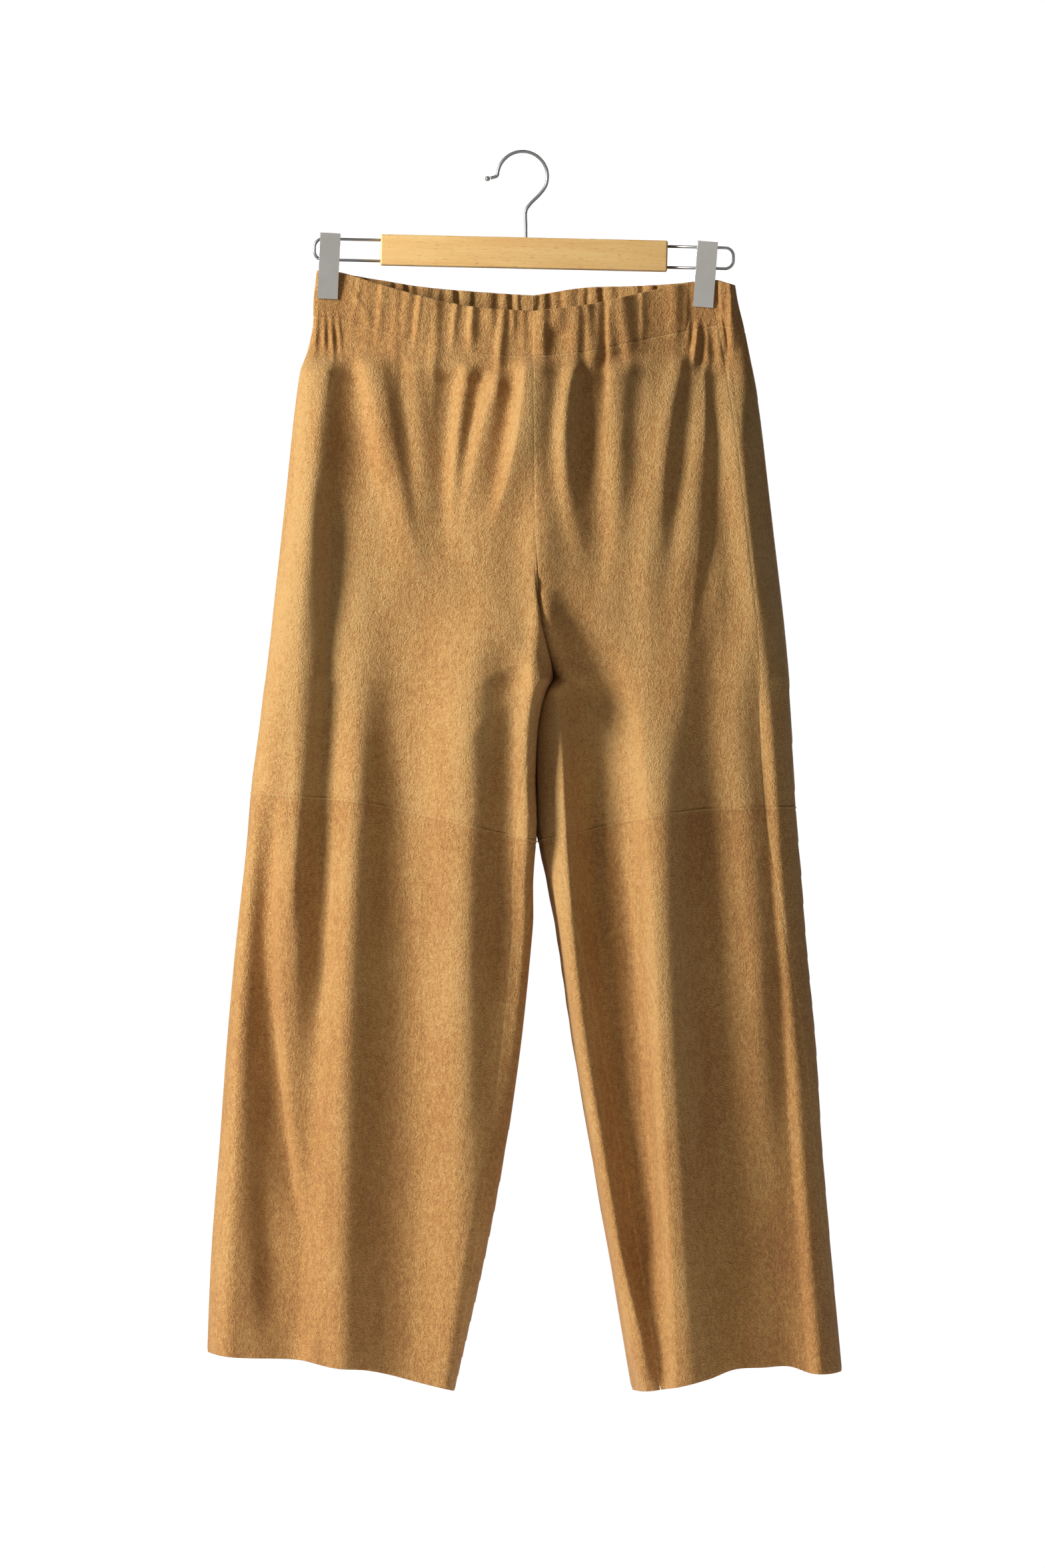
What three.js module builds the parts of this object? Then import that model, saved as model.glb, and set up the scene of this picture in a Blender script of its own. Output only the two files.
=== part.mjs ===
// Wide-leg suede pants held by two sprung clips on a wooden hanger.
// Millimetres, +Z up, +X to the viewer's right, the front of the pants faces -Y.
// The origin is the inside top of the hook, where a rail carries it, and a "drop" is a
// distance below that point.
import * as THREE from "three";

// ---- driving dimensions -------------------------------------------------------------

// foldSway is the share of a fold's height that also pushes it sideways.
const suede = { thickness: 1.2, casingThickness: 2.4, seamGap: 0.3, foldSway: 0.25 };
const casing = { depth: 39, foldedEdge: 3, pinchedDepth: 2.7 };
const crotch = { drop: 441, curveStart: 315, curvePower: 2.4 };
const hemSlit = { height: 8, width: 1.2 };
const clipGrip = { release: 112, halfWidth: 11, shoulder: 8, below: 32 };
// How square the plan of the hip and of a leg is, how much deeper the back is than the
// front, and how fast the inside edge's shift dies away across a leg.
const planShape = { hip: 2.5, leg: 2.4, backDepth: 1.06, innerShift: 2 };
// One gather's half width, the share of its height left at the stitching, and its fade below.
const gatherShape = { width: 3.3, held: 0.55, fade: 42 };

const bar = { length: 241, height: 26, depth: 12, edge: 2, x: 1.3, drop: 84.1, tilt: 1.28 };
const hook = {
  wire: 2.7,
  loopRadius: 21,
  stem: { x: 2.8, straight: 10, top: -49 },
  bend: [{ x: 6.5, z: -42.8 }, { x: 14.6, z: -34.6 }],
  turn: { from: -24, to: 176, step: 16 },
  kink: { x: -22.4, z: -19.8 },
  tip: { x: -27, z: -21 },
  ball: 4.2,
};
const loop = { wire: 2.4, reach: 176, upper: 8.3, lower: -9.3, corner: 7 };
const clip = { width: 17, height: 55.4, plate: 1.1, edge: 0.35, top: 13, spread: 5 };
const clipPlaces = {
  left: { x: -161.8, lean: 2.7, bottomDrop: 126 },
  right: { x: 154.7, lean: 4.2, bottomDrop: 133 },
};

// Sections of each half of the pants: outer is the side, inner the centre seam and, below
// the crotch, the inside of the leg; innerY moves that inside edge forward or back, and
// depth is half the distance between front and back.
const leftHalf = {
  name: "left",
  hand: -1,
  clipFractions: { inner: 0.87, outer: 0.965, bulge: 0 },
  sections: [
    { drop: 98, outer: -173, inner: 9, innerY: 0, depth: 12 },
    { drop: 124, outer: -176, inner: 9, innerY: 0, depth: 13.5 },
    { drop: 146, outer: -176.5, inner: 9, innerY: 0, depth: 17 },
    { drop: 180, outer: -183.7, inner: 9, innerY: 0, depth: 28 },
    { drop: 213, outer: -188.2, inner: 9, innerY: 0, depth: 38 },
    { drop: 297, outer: -196.6, inner: 10.5, innerY: 0, depth: 49 },
    { drop: 387, outer: -206.6, inner: 14.5, innerY: 0, depth: 52 },
    { drop: 441, outer: -213, inner: 25.8, innerY: 0, depth: 51 },
    { drop: 449, outer: -214.3, inner: 21.8, innerY: -5, depth: 50 },
    { drop: 460, outer: -215.8, inner: 17.4, innerY: -9, depth: 49 },
    { drop: 484, outer: -218.6, inner: 12.9, innerY: -12, depth: 48 },
    { drop: 525, outer: -223.8, inner: 10.9, innerY: -12, depth: 47.5 },
    { drop: 566, outer: -227.9, inner: 12.2, innerY: -12, depth: 47 },
    { drop: 611, outer: -232.4, inner: 9.5, innerY: -6, depth: 48 },
    { drop: 656, outer: -236.9, inner: 8.4, innerY: 0, depth: 49 },
    { drop: 745, outer: -245.8, inner: -0.6, innerY: 0, depth: 51 },
    { drop: 835, outer: -253.1, inner: -14, innerY: 0, depth: 53 },
    { drop: 924, outer: -260.4, inner: -30.8, innerY: 0, depth: 55 },
    { drop: 1040, outer: -265, inner: -57.5, innerY: 0, depth: 56 },
  ],
  // Edges and seams by lap: 0 is the centre front or inseam, 1 the side, 2 the centre back.
  edges: [
    { lap: 0, waist: 133.6, thigh: 578, hem: 1038 },
    { lap: 0.2, waist: 130.4, thigh: 570, hem: 1033.5 },
    { lap: 0.4, waist: 121.5, thigh: 557, hem: 1023 },
    { lap: 0.6, waist: 110.5, thigh: 544, hem: 1013.5 },
    { lap: 0.8, waist: 101, thigh: 539.5, hem: 1011 },
    { lap: 1, waist: 99, thigh: 537, hem: 1005.5 },
    { lap: 1.2, waist: 101.5, thigh: 539, hem: 1008 },
    { lap: 1.4, waist: 106.5, thigh: 545, hem: 1012 },
    { lap: 1.6, waist: 112.3, thigh: 556, hem: 1021 },
    { lap: 1.8, waist: 116, thigh: 569, hem: 1031 },
    { lap: 2, waist: 119, thigh: 578, hem: 1038 },
  ],
  // Where the side seam and the inseam lie, by lap.
  seams: [
    { drop: 98, side: 1, inseam: 0 },
    { drop: 441, side: 1, inseam: 0 },
    { drop: 566, side: 1, inseam: 0.12 },
    { drop: 656, side: 1, inseam: 0.12 },
    { drop: 835, side: 1, inseam: 0.11 },
    { drop: 950, side: 1, inseam: 0.07 },
    { drop: 1040, side: 1, inseam: 0.03 },
  ],
};

const rightHalf = {
  name: "right",
  hand: 1,
  clipFractions: { inner: 0.765, outer: 0.905, bulge: 4.5 },
  sections: [
    { drop: 98, outer: 177, inner: 9, innerY: 0, depth: 12 },
    { drop: 124, outer: 181, inner: 9, innerY: 0, depth: 13.5 },
    { drop: 146, outer: 186.2, inner: 9, innerY: 0, depth: 17 },
    { drop: 180, outer: 192.7, inner: 9, innerY: 0, depth: 28 },
    { drop: 213, outer: 197.7, inner: 9, innerY: 0, depth: 38 },
    { drop: 297, outer: 207.8, inner: 10.5, innerY: 0, depth: 49 },
    { drop: 387, outer: 218.4, inner: 14.5, innerY: 0, depth: 52 },
    { drop: 441, outer: 223.2, inner: 25.8, innerY: 0, depth: 51 },
    { drop: 449, outer: 223.6, inner: 18.6, innerY: 6, depth: 50 },
    { drop: 460, outer: 224.2, inner: 13.6, innerY: 11, depth: 49 },
    { drop: 484, outer: 225.5, inner: 9.4, innerY: 14, depth: 48 },
    { drop: 525, outer: 227.6, inner: 8.4, innerY: 14, depth: 47.5 },
    { drop: 566, outer: 230.2, inner: 10.8, innerY: 14, depth: 47 },
    { drop: 611, outer: 234.1, inner: 19.6, innerY: 6, depth: 48 },
    { drop: 656, outer: 237.4, inner: 28, innerY: 0, depth: 49 },
    { drop: 745, outer: 245.8, inner: 41.4, innerY: 0, depth: 51 },
    { drop: 835, outer: 251.4, inner: 56.6, innerY: 0, depth: 53 },
    { drop: 924, outer: 258.7, inner: 72.2, innerY: 0, depth: 55 },
    { drop: 1040, outer: 269, inner: 92, innerY: 0, depth: 56 },
  ],
  edges: [
    { lap: 0, waist: 133.6, thigh: 578, hem: 1037 },
    { lap: 0.2, waist: 128.5, thigh: 571.5, hem: 1035.5 },
    { lap: 0.4, waist: 119.3, thigh: 559.5, hem: 1030 },
    { lap: 0.6, waist: 111.5, thigh: 551, hem: 1019.5 },
    { lap: 0.8, waist: 106.2, thigh: 549.6, hem: 1022 },
    { lap: 1, waist: 111, thigh: 549, hem: 1021.5 },
    { lap: 1.2, waist: 107, thigh: 550, hem: 1021 },
    { lap: 1.4, waist: 109.7, thigh: 552, hem: 1022 },
    { lap: 1.6, waist: 111.5, thigh: 560, hem: 1026 },
    { lap: 1.8, waist: 112.6, thigh: 571, hem: 1033 },
    { lap: 2, waist: 119, thigh: 578, hem: 1037 },
  ],
  seams: [
    { drop: 98, side: 0.8, inseam: 0 },
    { drop: 441, side: 0.815, inseam: 0 },
    { drop: 566, side: 0.825, inseam: 0.12 },
    { drop: 656, side: 0.86, inseam: 0.15 },
    { drop: 745, side: 0.9, inseam: 0.18 },
    { drop: 835, side: 0.93, inseam: 0.19 },
    { drop: 950, side: 0.955, inseam: 0.2 },
    { drop: 1040, side: 0.965, inseam: 0.2 },
  ],
};

// Folds that stand proud of the cloth: the crest runs from x = head through middle to foot,
// left and right are the widths of its two flanks, fadeIn and fadeOut where it dies away.
const records = (columns, rows) => rows.map(
  (row) => Object.fromEntries(columns.map((column, i) => [column, row[i]])),
);
const foldColumns = ["top", "end", "head", "middle", "foot", "left", "right", "rise",
  "fadeIn", "fadeOut"];
const frontFolds = records(foldColumns, [
  [140, 798, -160.2, -196.8, -191.6, 34, 12, 11, 20, 190],
  [158, 357, -123.8, -108.9, -89, 11.5, 8, 7.9, 16, 90],
  [158, 336, -93.5, -83.4, -82.7, 7, 9.2, 4.4, 16, 80],
  [173, 330, -44, -55.2, -56.3, 6, 6, 9, 16, 90],
  [175, 329, -17.1, -37.9, -47, 6, 12.6, 9, 16, 80],
  [158, 342, 7.5, -5.6, -31.7, 6, 11.2, 9, 16, 90],
  [147, 1010, 35.7, 2.7, 91.5, 11.6, 28.1, 11, 30, 110],
  [176, 362, 43.8, 37.5, 59.9, 6, 7, 9, 16, 120],
  [162, 353, 84.1, 79.7, 81.4, 8.2, 9.5, 9, 16, 120],
  [158, 367, 135.7, 120.7, 118, 8.3, 6.2, 9, 16, 130],
  [158, 438, 154.7, 149.7, 136.7, 10.2, 6, 7.5, 16, 120],
  [154, 1035, 175.2, 212.8, 227.3, 9, 18.6, 11, 20, 110],
  [341, 1100, -47.6, -42.3, -38.6, 21, 16.7, 11, 120, 1],
  [376, 1100, -133.5, -146.9, -149.2, 9.4, 13.8, 8.7, 150, 1],
  [531, 1100, -159.7, -177.6, -199, 18.3, 8.6, -11, 120, 1],
  [403, 1089, 24.7, 53.1, 124.6, 21, 8, 11, 100, 140],
  [434, 1100, 94.8, 113.1, 134.3, 8, 20.8, 11, 150, 1],
  [341, 782, 185.2, 204.1, 219.1, 10.8, 8, -10.6, 60, 150],
  [495, 996, 119.1, 116.9, 128.8, 8, 19.8, 7.3, 90, 110],
  [265, 693, -155.3, -163.7, -191.5, 8, 18.6, -4.9, 60, 120],
  [528, 923, -206.5, -209.1, -188.1, 10.2, 8, -11, 60, 60],
  [543, 1009, -209.1, -218.9, -211.7, 9.5, 15.3, -11, 80, 110],
  [141, 1100, -136.8, -129.3, -106.5, 14.8, 34, -11, 100, 1],
  [353, 797, 16.2, -0.9, 0.3, 8, 14.6, 11, 60, 80],
  [348, 1087, 12.2, 57.1, 109.6, 33.1, 8, 11, 60, 100],
  [239, 1090, 165.9, 174.4, 219.3, 10, 8, -5.9, 100, 120],
  [663, 1100, 213.7, 220.8, 236.3, 12.5, 8.5, -11, 100, 1],
  [293, 518, -72.4, -51.9, -77.7, 19.8, 13.1, -8.3, 80, 100],
  [362, 992, 59.4, 87.7, 98, 16.7, 20, -11, 80, 100],
  [158, 293, -143.6, -127.2, -115.9, 6, 10.9, 7.9, 16, 60],
  [162, 382, 81.5, 71, 51, 10.5, 8.1, -2.9, 16, 80],
  [159, 375, 110.8, 104.9, 109.5, 7, 9.3, 5, 16, 80],
  [176, 358, -59.7, -61.7, -78.9, 25.9, 14.8, -9, 16, 60],
]);

const backFolds = records(foldColumns, [
  [158, 330, -118, -112, -108, 9, 10, 6, 14, 100],
  [158, 360, -78, -84, -92, 8, 9, 6, 14, 120],
  [158, 310, -34, -40, -44, 8, 7, 5.5, 14, 90],
  [158, 345, 38, 45, 52, 7, 8, 6, 14, 110],
  [158, 320, 82, 84, 92, 9, 9, 6.5, 14, 100],
  [158, 370, 124, 128, 134, 9, 8, 6, 14, 120],
  [390, 1060, -60, -74, -92, 20, 17, 10, 150, 1],
  [430, 1060, -158, -172, -186, 15, 18, 10, 160, 1],
  [390, 1060, 74, 92, 128, 16, 18, 10, 150, 1],
  [430, 1060, 168, 184, 206, 17, 15, 10, 160, 1],
]);

// Gathers that the elastic throws up in the front of the casing, by the x of each crest.
const frontGathers = [
  { x: -139.9, rise: 0.8 },
  { x: -130.3, rise: 0.8 },
  { x: -119, rise: 1.9 },
  { x: -106.2, rise: 1.4 },
  { x: -98, rise: 2 },
  { x: -87.7, rise: 3.7 },
  { x: -81.1, rise: 2.7 },
  { x: -73, rise: 2.4 },
  { x: -57.1, rise: 2.1 },
  { x: -43.2, rise: 3.7 },
  { x: -26.5, rise: 2.6 },
  { x: -19.1, rise: 3.1 },
  { x: -8.1, rise: 1.8 },
  { x: 1.1, rise: 1.3 },
  { x: 17, rise: 3.7 },
  { x: 29.8, rise: 3.7 },
  { x: 45.1, rise: 3.7 },
  { x: 56.6, rise: 3.2 },
  { x: 63.3, rise: 1.9 },
  { x: 72.5, rise: 3 },
  { x: 85.8, rise: 3.6 },
  { x: 99.8, rise: 1.3 },
  { x: 128.2, rise: 2.4 },
  { x: 140.5, rise: 3.5 },
  { x: 148.1, rise: 3.7 },
  { x: 165.8, rise: 3.7 },
  { x: 174.3, rise: 2.2 },
];
const backGatherCount = 28;

// ---- surface of the cloth -----------------------------------------------------------

const mix = (a, b, t) => a + (b - a) * t;

function smooth(from, to, value) {
  const t = Math.min(Math.max((value - from) / (to - from), 0), 1);
  return t * t * (3 - 2 * t);
}

// A smooth curve through one column of a table.
function tableAt(rows, key, column, value) {
  const last = rows.length - 1;
  const at = Math.min(Math.max(value, rows[0][key]), rows[last][key]);
  let i = 0;
  while (i < last - 1 && at > rows[i + 1][key]) i++;
  const slope = (from, to) =>
    (rows[to][column] - rows[from][column]) / (rows[to][key] - rows[from][key]);
  const span = rows[i + 1][key] - rows[i][key];
  const t = (at - rows[i][key]) / span;
  const rise0 = slope(Math.max(i - 1, 0), i + 1) * span;
  const rise1 = slope(i, Math.min(i + 2, last)) * span;
  const start = rows[i][column];
  const change = rows[i + 1][column] - start;
  return start + rise0 * t + (3 * change - 2 * rise0 - rise1) * t * t +
    (rise0 + rise1 - 2 * change) * t * t * t;
}

// Depth of the waist in plan: a lens between the clips, flat in each clip, and beyond it
// the small loop where front turns into back.
function waistDepth(half, fraction, middleDepth) {
  const { inner, outer, bulge } = half.clipFractions;
  if (fraction < inner) {
    const lens = 1 - (fraction / inner) ** 2;
    return casing.pinchedDepth + (middleDepth - casing.pinchedDepth) * lens ** 1.15;
  }
  if (fraction < outer) return casing.pinchedDepth;
  const end = (fraction - outer) / (1 - outer);
  const round = Math.sqrt(Math.max(1 - end * end, 0));
  return casing.pinchedDepth * round + bulge * Math.sin(Math.PI * Math.min(end, 1)) ** 0.8;
}

const roundedProfile = (fraction, power) => Math.max(1 - fraction ** power, 0) ** (1 / power);

// How far a drop is on its way from one body to two legs: 0 at the hip, 1 from the crotch down.
function legShare(drop) {
  const t = (drop - crotch.curveStart) / (crotch.drop - crotch.curveStart);
  return Math.min(Math.max(t, 0), 1) ** crotch.curvePower;
}

// The unfolded cloth in plan. The lap runs 0..1 over the front and 1..2 over the back; on a
// leg it goes on past 2 round the inside edge.
function plan(half, lap, drop) {
  const turn = ((lap % 2) + 2) % 2;
  const open = drop < crotch.drop;
  const along = open ? Math.min(Math.max(lap, 0), 2) : turn;
  const u = along <= 1 ? along : 2 - along;
  const face = along <= 1 ? -1 : 1;
  const at = (column) => tableAt(half.sections, "drop", column, drop);
  const outer = at("outer");
  const share = legShare(drop);
  const inner = at("inner") + half.hand * share * suede.seamGap / 2;
  const depth = at("depth") * (face > 0 ? planShape.backDepth : 1);

  const hipFraction = 0.5 * u + 0.5 * Math.sin(Math.PI * u / 2);
  const grip = clipPlaces[half.name].bottomDrop;
  const release = smooth(grip, grip + clipGrip.release, drop);
  const hipDepth = mix(waistDepth(half, hipFraction, depth),
    depth * roundedProfile(hipFraction, planShape.hip), release);
  const hip = { x: mix(inner, outer, hipFraction), y: face * hipDepth };

  const legFraction = 0.4 * u + 0.3 * (1 - Math.cos(Math.PI * u));
  const across = Math.abs(2 * legFraction - 1);
  const leg = {
    x: mix(inner, outer, legFraction),
    y: face * depth * roundedProfile(across, planShape.leg) +
      at("innerY") * (1 - legFraction) ** planShape.innerShift,
  };
  const facing = face * hipDepth / depth;
  return { x: mix(hip.x, leg.x, share), y: mix(hip.y, leg.y, share), u, share, facing };
}

// The outward direction of the unfolded cloth in plan, with the run of the lap beside it.
function planFrame(half, lap, drop) {
  const step = 0.004;
  const open = drop < crotch.drop;
  const lo = plan(half, open ? Math.max(lap - step, 0) : lap - step, drop);
  const hi = plan(half, open ? Math.min(lap + step, 2) : lap + step, drop);
  const run = new THREE.Vector2(hi.x - lo.x, hi.y - lo.y).normalize();
  const out = new THREE.Vector2(run.y, -run.x).multiplyScalar(half.hand);
  const share = plan(half, lap, drop).share;
  const atCentre = open && (lap < 0.001 || lap > 1.999);
  if (atCentre) out.set(-half.hand * share, (lap < 1 ? -1 : 1) * (1 - share)).normalize();
  return { run, out };
}

// Height of one fold at a place: two half bells meet at its crest, and it fades at its ends.
function foldRise(fold, x, drop) {
  if (drop <= fold.top || drop >= fold.end) return 0;
  const t = (drop - fold.top) / (fold.end - fold.top);
  const bend = fold.head - 2 * fold.middle + fold.foot;
  const crest = fold.head + (4 * fold.middle - 3 * fold.head - fold.foot) * t + 2 * bend * t * t;
  const away = x - crest;
  const reach = away / (away < 0 ? fold.left : fold.right);
  const fade = smooth(fold.top, fold.top + fold.fadeIn, drop) *
    (1 - smooth(fold.end - fold.fadeOut, fold.end, drop));
  return fold.rise * fade * Math.exp(-0.5 * reach * reach);
}

const backGathers = Array.from({ length: backGatherCount }, (_, i) => ({
  x: -142 + 11 * i + 2.4 * Math.sin(2.3 * i),
  rise: 3 + 1.1 * Math.sin(1.7 * i + 0.6),
}));

// Height of the elastic's gathers: full at the top, held down by the stitching, gone below.
function gatherRise(gathers, x, drop, waistDrop) {
  const below = drop - waistDrop;
  const { width, held, fade } = gatherShape;
  const hold = below < casing.depth ?
    mix(1, held, smooth(0, casing.depth, below)) :
    held * (1 - smooth(casing.depth, casing.depth + fade, below));
  if (hold <= 0) return 0;
  let sum = 0;
  for (const gather of gathers) {
    const reach = (x - gather.x) / width;
    sum += gather.rise * Math.exp(-0.5 * reach * reach);
  }
  return sum * hold;
}

// All that lifts the cloth off its plan. The clips press it flat.
function rise(half, lap, drop) {
  const place = plan(half, lap, drop);
  const waistDrop = tableAt(half.edges, "lap", "waist", lap > 2 ? lap - 2 : lap);
  const frontShare = 1 - smooth(-0.3, 0.3, place.share < 1 ? place.facing : place.y / 20);
  let sum = 0;
  if (frontShare > 0) {
    let front = gatherRise(frontGathers, place.x, drop, waistDrop);
    for (const fold of frontFolds) front += foldRise(fold, place.x, drop);
    sum += front * frontShare;
  }
  if (frontShare < 1) {
    let back = gatherRise(backGathers, place.x, drop, waistDrop);
    for (const fold of backFolds) back += foldRise(fold, place.x, drop);
    sum += back * (1 - frontShare);
  }
  const { x, lean, bottomDrop } = clipPlaces[half.name];
  const gripX = x - clipGrip.below * Math.sin(THREE.MathUtils.degToRad(lean));
  const clear = smooth(clipGrip.halfWidth, clipGrip.halfWidth + clipGrip.shoulder,
    Math.abs(place.x - gripX));
  const freed = smooth(bottomDrop, bottomDrop + 30, drop);
  const inside = mix(1, smooth(0.01, 0.14, place.u), place.share);
  return sum * Math.max(clear, freed) * inside;
}

// ---- cloth solids -------------------------------------------------------------------

// A closed wall between an outer and an inner grid of points, joined round the border.
function closedWall(outer, inner, flip) {
  const rows = outer.length;
  const columns = outer[0].length;
  const positions = [...outer.flat(), ...inner.flat()].flatMap((p) => [p.x, p.y, p.z]);
  const index = [];
  const at = (face, row, column) => (face * rows + row) * columns + column;
  const quad = (a, b, c, d) => index.push(...(flip ? [a, c, b, a, d, c] : [a, b, c, a, c, d]));
  for (let row = 0; row < rows - 1; row++) {
    for (let column = 0; column < columns - 1; column++) {
      quad(at(0, row, column), at(0, row + 1, column),
        at(0, row + 1, column + 1), at(0, row, column + 1));
      quad(at(1, row, column), at(1, row, column + 1),
        at(1, row + 1, column + 1), at(1, row + 1, column));
    }
    const end = columns - 1;
    quad(at(0, row, 0), at(1, row, 0), at(1, row + 1, 0), at(0, row + 1, 0));
    quad(at(0, row, end), at(0, row + 1, end), at(1, row + 1, end), at(1, row, end));
  }
  for (let column = 0; column < columns - 1; column++) {
    const end = rows - 1;
    quad(at(0, 0, column), at(0, 0, column + 1), at(1, 0, column + 1), at(1, 0, column));
    quad(at(0, end, column), at(1, end, column),
      at(1, end, column + 1), at(0, end, column + 1));
  }
  const geometry = new THREE.BufferGeometry();
  geometry.setAttribute("position", new THREE.Float32BufferAttribute(positions, 3));
  geometry.setIndex(index);
  return geometry;
}

// The drop of each line that a panel ends on.
const edgeLines = {
  waist: (half, lap) => tableAt(half.edges, "lap", "waist", lap > 2 ? lap - 2 : lap),
  casing: (half, lap) => edgeLines.waist(half, lap) + casing.depth,
  crotch: () => crotch.drop,
  thigh: (half, lap) => tableAt(half.edges, "lap", "thigh", lap > 2 ? lap - 2 : lap),
  hem: (half, lap) => tableAt(half.edges, "lap", "hem", lap > 2 ? lap - 2 : lap),
};

// The laps where a panel begins and ends at a drop.
function panelLaps(half, face, drop) {
  const side = tableAt(half.seams, "drop", "side", drop);
  const inseam = Math.max(tableAt(half.seams, "drop", "inseam", drop), 0);
  return face === "front" ? [inseam, side] : [side, 2 + inseam];
}

// One panel between a row of lines, as a closed wall. bands lists the rows between each
// pair of lines.
function panel(half, face, lines, bands, columns, thicknessAt) {
  const outer = [];
  const inner = [];
  const levels = [[lines[0], lines[1], 0, 0]];
  bands.forEach((band, i) => band.forEach((t) => levels.push([lines[i], lines[i + 1], t, i])));
  levels.forEach(([from, to, t], row) => {
    const outerRow = [];
    const innerRow = [];
    const trim = suede.seamGap / 2;
    const edgeTrim = row === 0 ? trim : row === levels.length - 1 ? -trim : 0;
    const dropOf = (lap) => mix(edgeLines[from](half, lap), edgeLines[to](half, lap), t);
    const ends = [0, 1].map((end) => {
      let lap = panelLaps(half, face, dropOf(face === "front" ? end : 1 + end))[end];
      lap = panelLaps(half, face, dropOf(lap))[end];
      return lap;
    });
    for (let column = 0; column <= columns; column++) {
      const lap = mix(ends[0], ends[1], column / columns);
      const drop = dropOf(lap) + edgeTrim;
      const place = plan(half, lap, drop);
      const frame = planFrame(half, lap, drop);
      const lift = rise(half, lap, drop);
      const hemDrop = edgeLines.hem(half, lap);
      const slit = hemSlit.width / 2 * (1 - smooth(0, hemSlit.height, hemDrop - drop));
      const gap = suede.seamGap / 2 + slit;
      const shift = column === 0 ? gap : column === columns ? -gap : 0;
      const wall = thicknessAt(t);
      const swayLoss = (1 - suede.foldSway) * lift;
      const point = (height) => new THREE.Vector3(
        place.x + frame.out.x * (height - swayLoss) + frame.run.x * shift,
        place.y + frame.out.y * height + frame.run.y * shift,
        -drop,
      );
      // Above the crotch no layer passes the plane between front and back or that of the
      // centre seam.
      const kept = (p) => {
        if (drop > crotch.drop) return p;
        const centre = tableAt(half.sections, "drop", "inner", drop);
        const aside = Math.max(half.hand * (p.x - centre), trim);
        p.setX(centre + half.hand * aside);
        if (Math.abs(lap - 1) < 1e-6 || drop === crotch.drop) return p;
        return p.setY(lap < 1 ? Math.min(p.y, -trim) : Math.max(p.y, trim));
      };
      outerRow.push(kept(point(lift)));
      innerRow.push(kept(point(lift - wall)));
    }
    outer.push(outerRow);
    inner.push(innerRow);
  });
  return closedWall(outer, inner, half.hand < 0);
}

const evenly = (count) => Array.from({ length: count }, (_, i) => (i + 1) / count);
const casingBands = [[casing.foldedEdge / casing.depth, 0.5, 1]];
const panelColumns = { front: 32, back: 20 };
const casingColumns = { front: 46, back: 38 };
const lowerColumns = { front: 22, back: 20 };

const suedeMaterial = new THREE.MeshStandardMaterial({ color: 0xb58a4e, roughness: 0.95, side: 2 });
const woodMaterial = new THREE.MeshStandardMaterial({ color: 0xe0b070, roughness: 0.5 });
const steelMaterial = new THREE.MeshStandardMaterial({ color: 0x9a9a98, roughness: 0.3, metalness: 1 });
const chromeMaterial = new THREE.MeshStandardMaterial({ color: 0xc4c6c8, roughness: 0.15, metalness: 1 });

function named(name, geometry, material) {
  const mesh = new THREE.Mesh(geometry, material);
  mesh.name = name;
  return mesh;
}

function makeCloth() {
  const cloth = new THREE.Group();
  const foldedEdge = (t) => t === 0 ? suede.casingThickness / 2 : suede.casingThickness;
  const single = () => suede.thickness;
  for (const half of [leftHalf, rightHalf]) {
    for (const face of ["front", "back"]) {
      const add = (piece, ...shape) =>
        cloth.add(named(`${piece}_${face}_${half.name}`, panel(half, face, ...shape),
          suedeMaterial.clone()));
      add("casing", ["waist", "casing"], casingBands, casingColumns[face], foldedEdge);
      add("upper", ["casing", "crotch", "thigh"], [evenly(9), evenly(4)],
        panelColumns[face], single);
      add("lower", ["thigh", "hem"], [evenly(9)], lowerColumns[face], single);
    }
  }
  return cloth;
}

// ---- hanger -------------------------------------------------------------------------

const disc = (radius, sides) => new THREE.Shape(
  Array.from({ length: sides }, (_, i) => {
    const angle = 2 * Math.PI * i / sides;
    return new THREE.Vector2(radius * Math.cos(angle), radius * Math.sin(angle));
  }),
);

const wireAlong = (path, diameter, steps) => new THREE.ExtrudeGeometry(
  disc(diameter / 2, 8),
  { extrudePath: path, steps, bevelEnabled: false },
);

function roundedBox(width, height, depth, edge) {
  const w = width / 2 - edge;
  const h = height / 2 - edge;
  const shape = new THREE.Shape();
  shape.moveTo(-w, -h).lineTo(w, -h).lineTo(w, h).lineTo(-w, h).closePath();
  const geometry = new THREE.ExtrudeGeometry(shape, {
    depth: depth - 2 * edge,
    bevelEnabled: true,
    bevelThickness: edge,
    bevelSize: edge,
    bevelSegments: 2,
    curveSegments: 3,
  });
  return geometry.translate(0, 0, -depth / 2 + edge).rotateX(Math.PI / 2);
}

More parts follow.
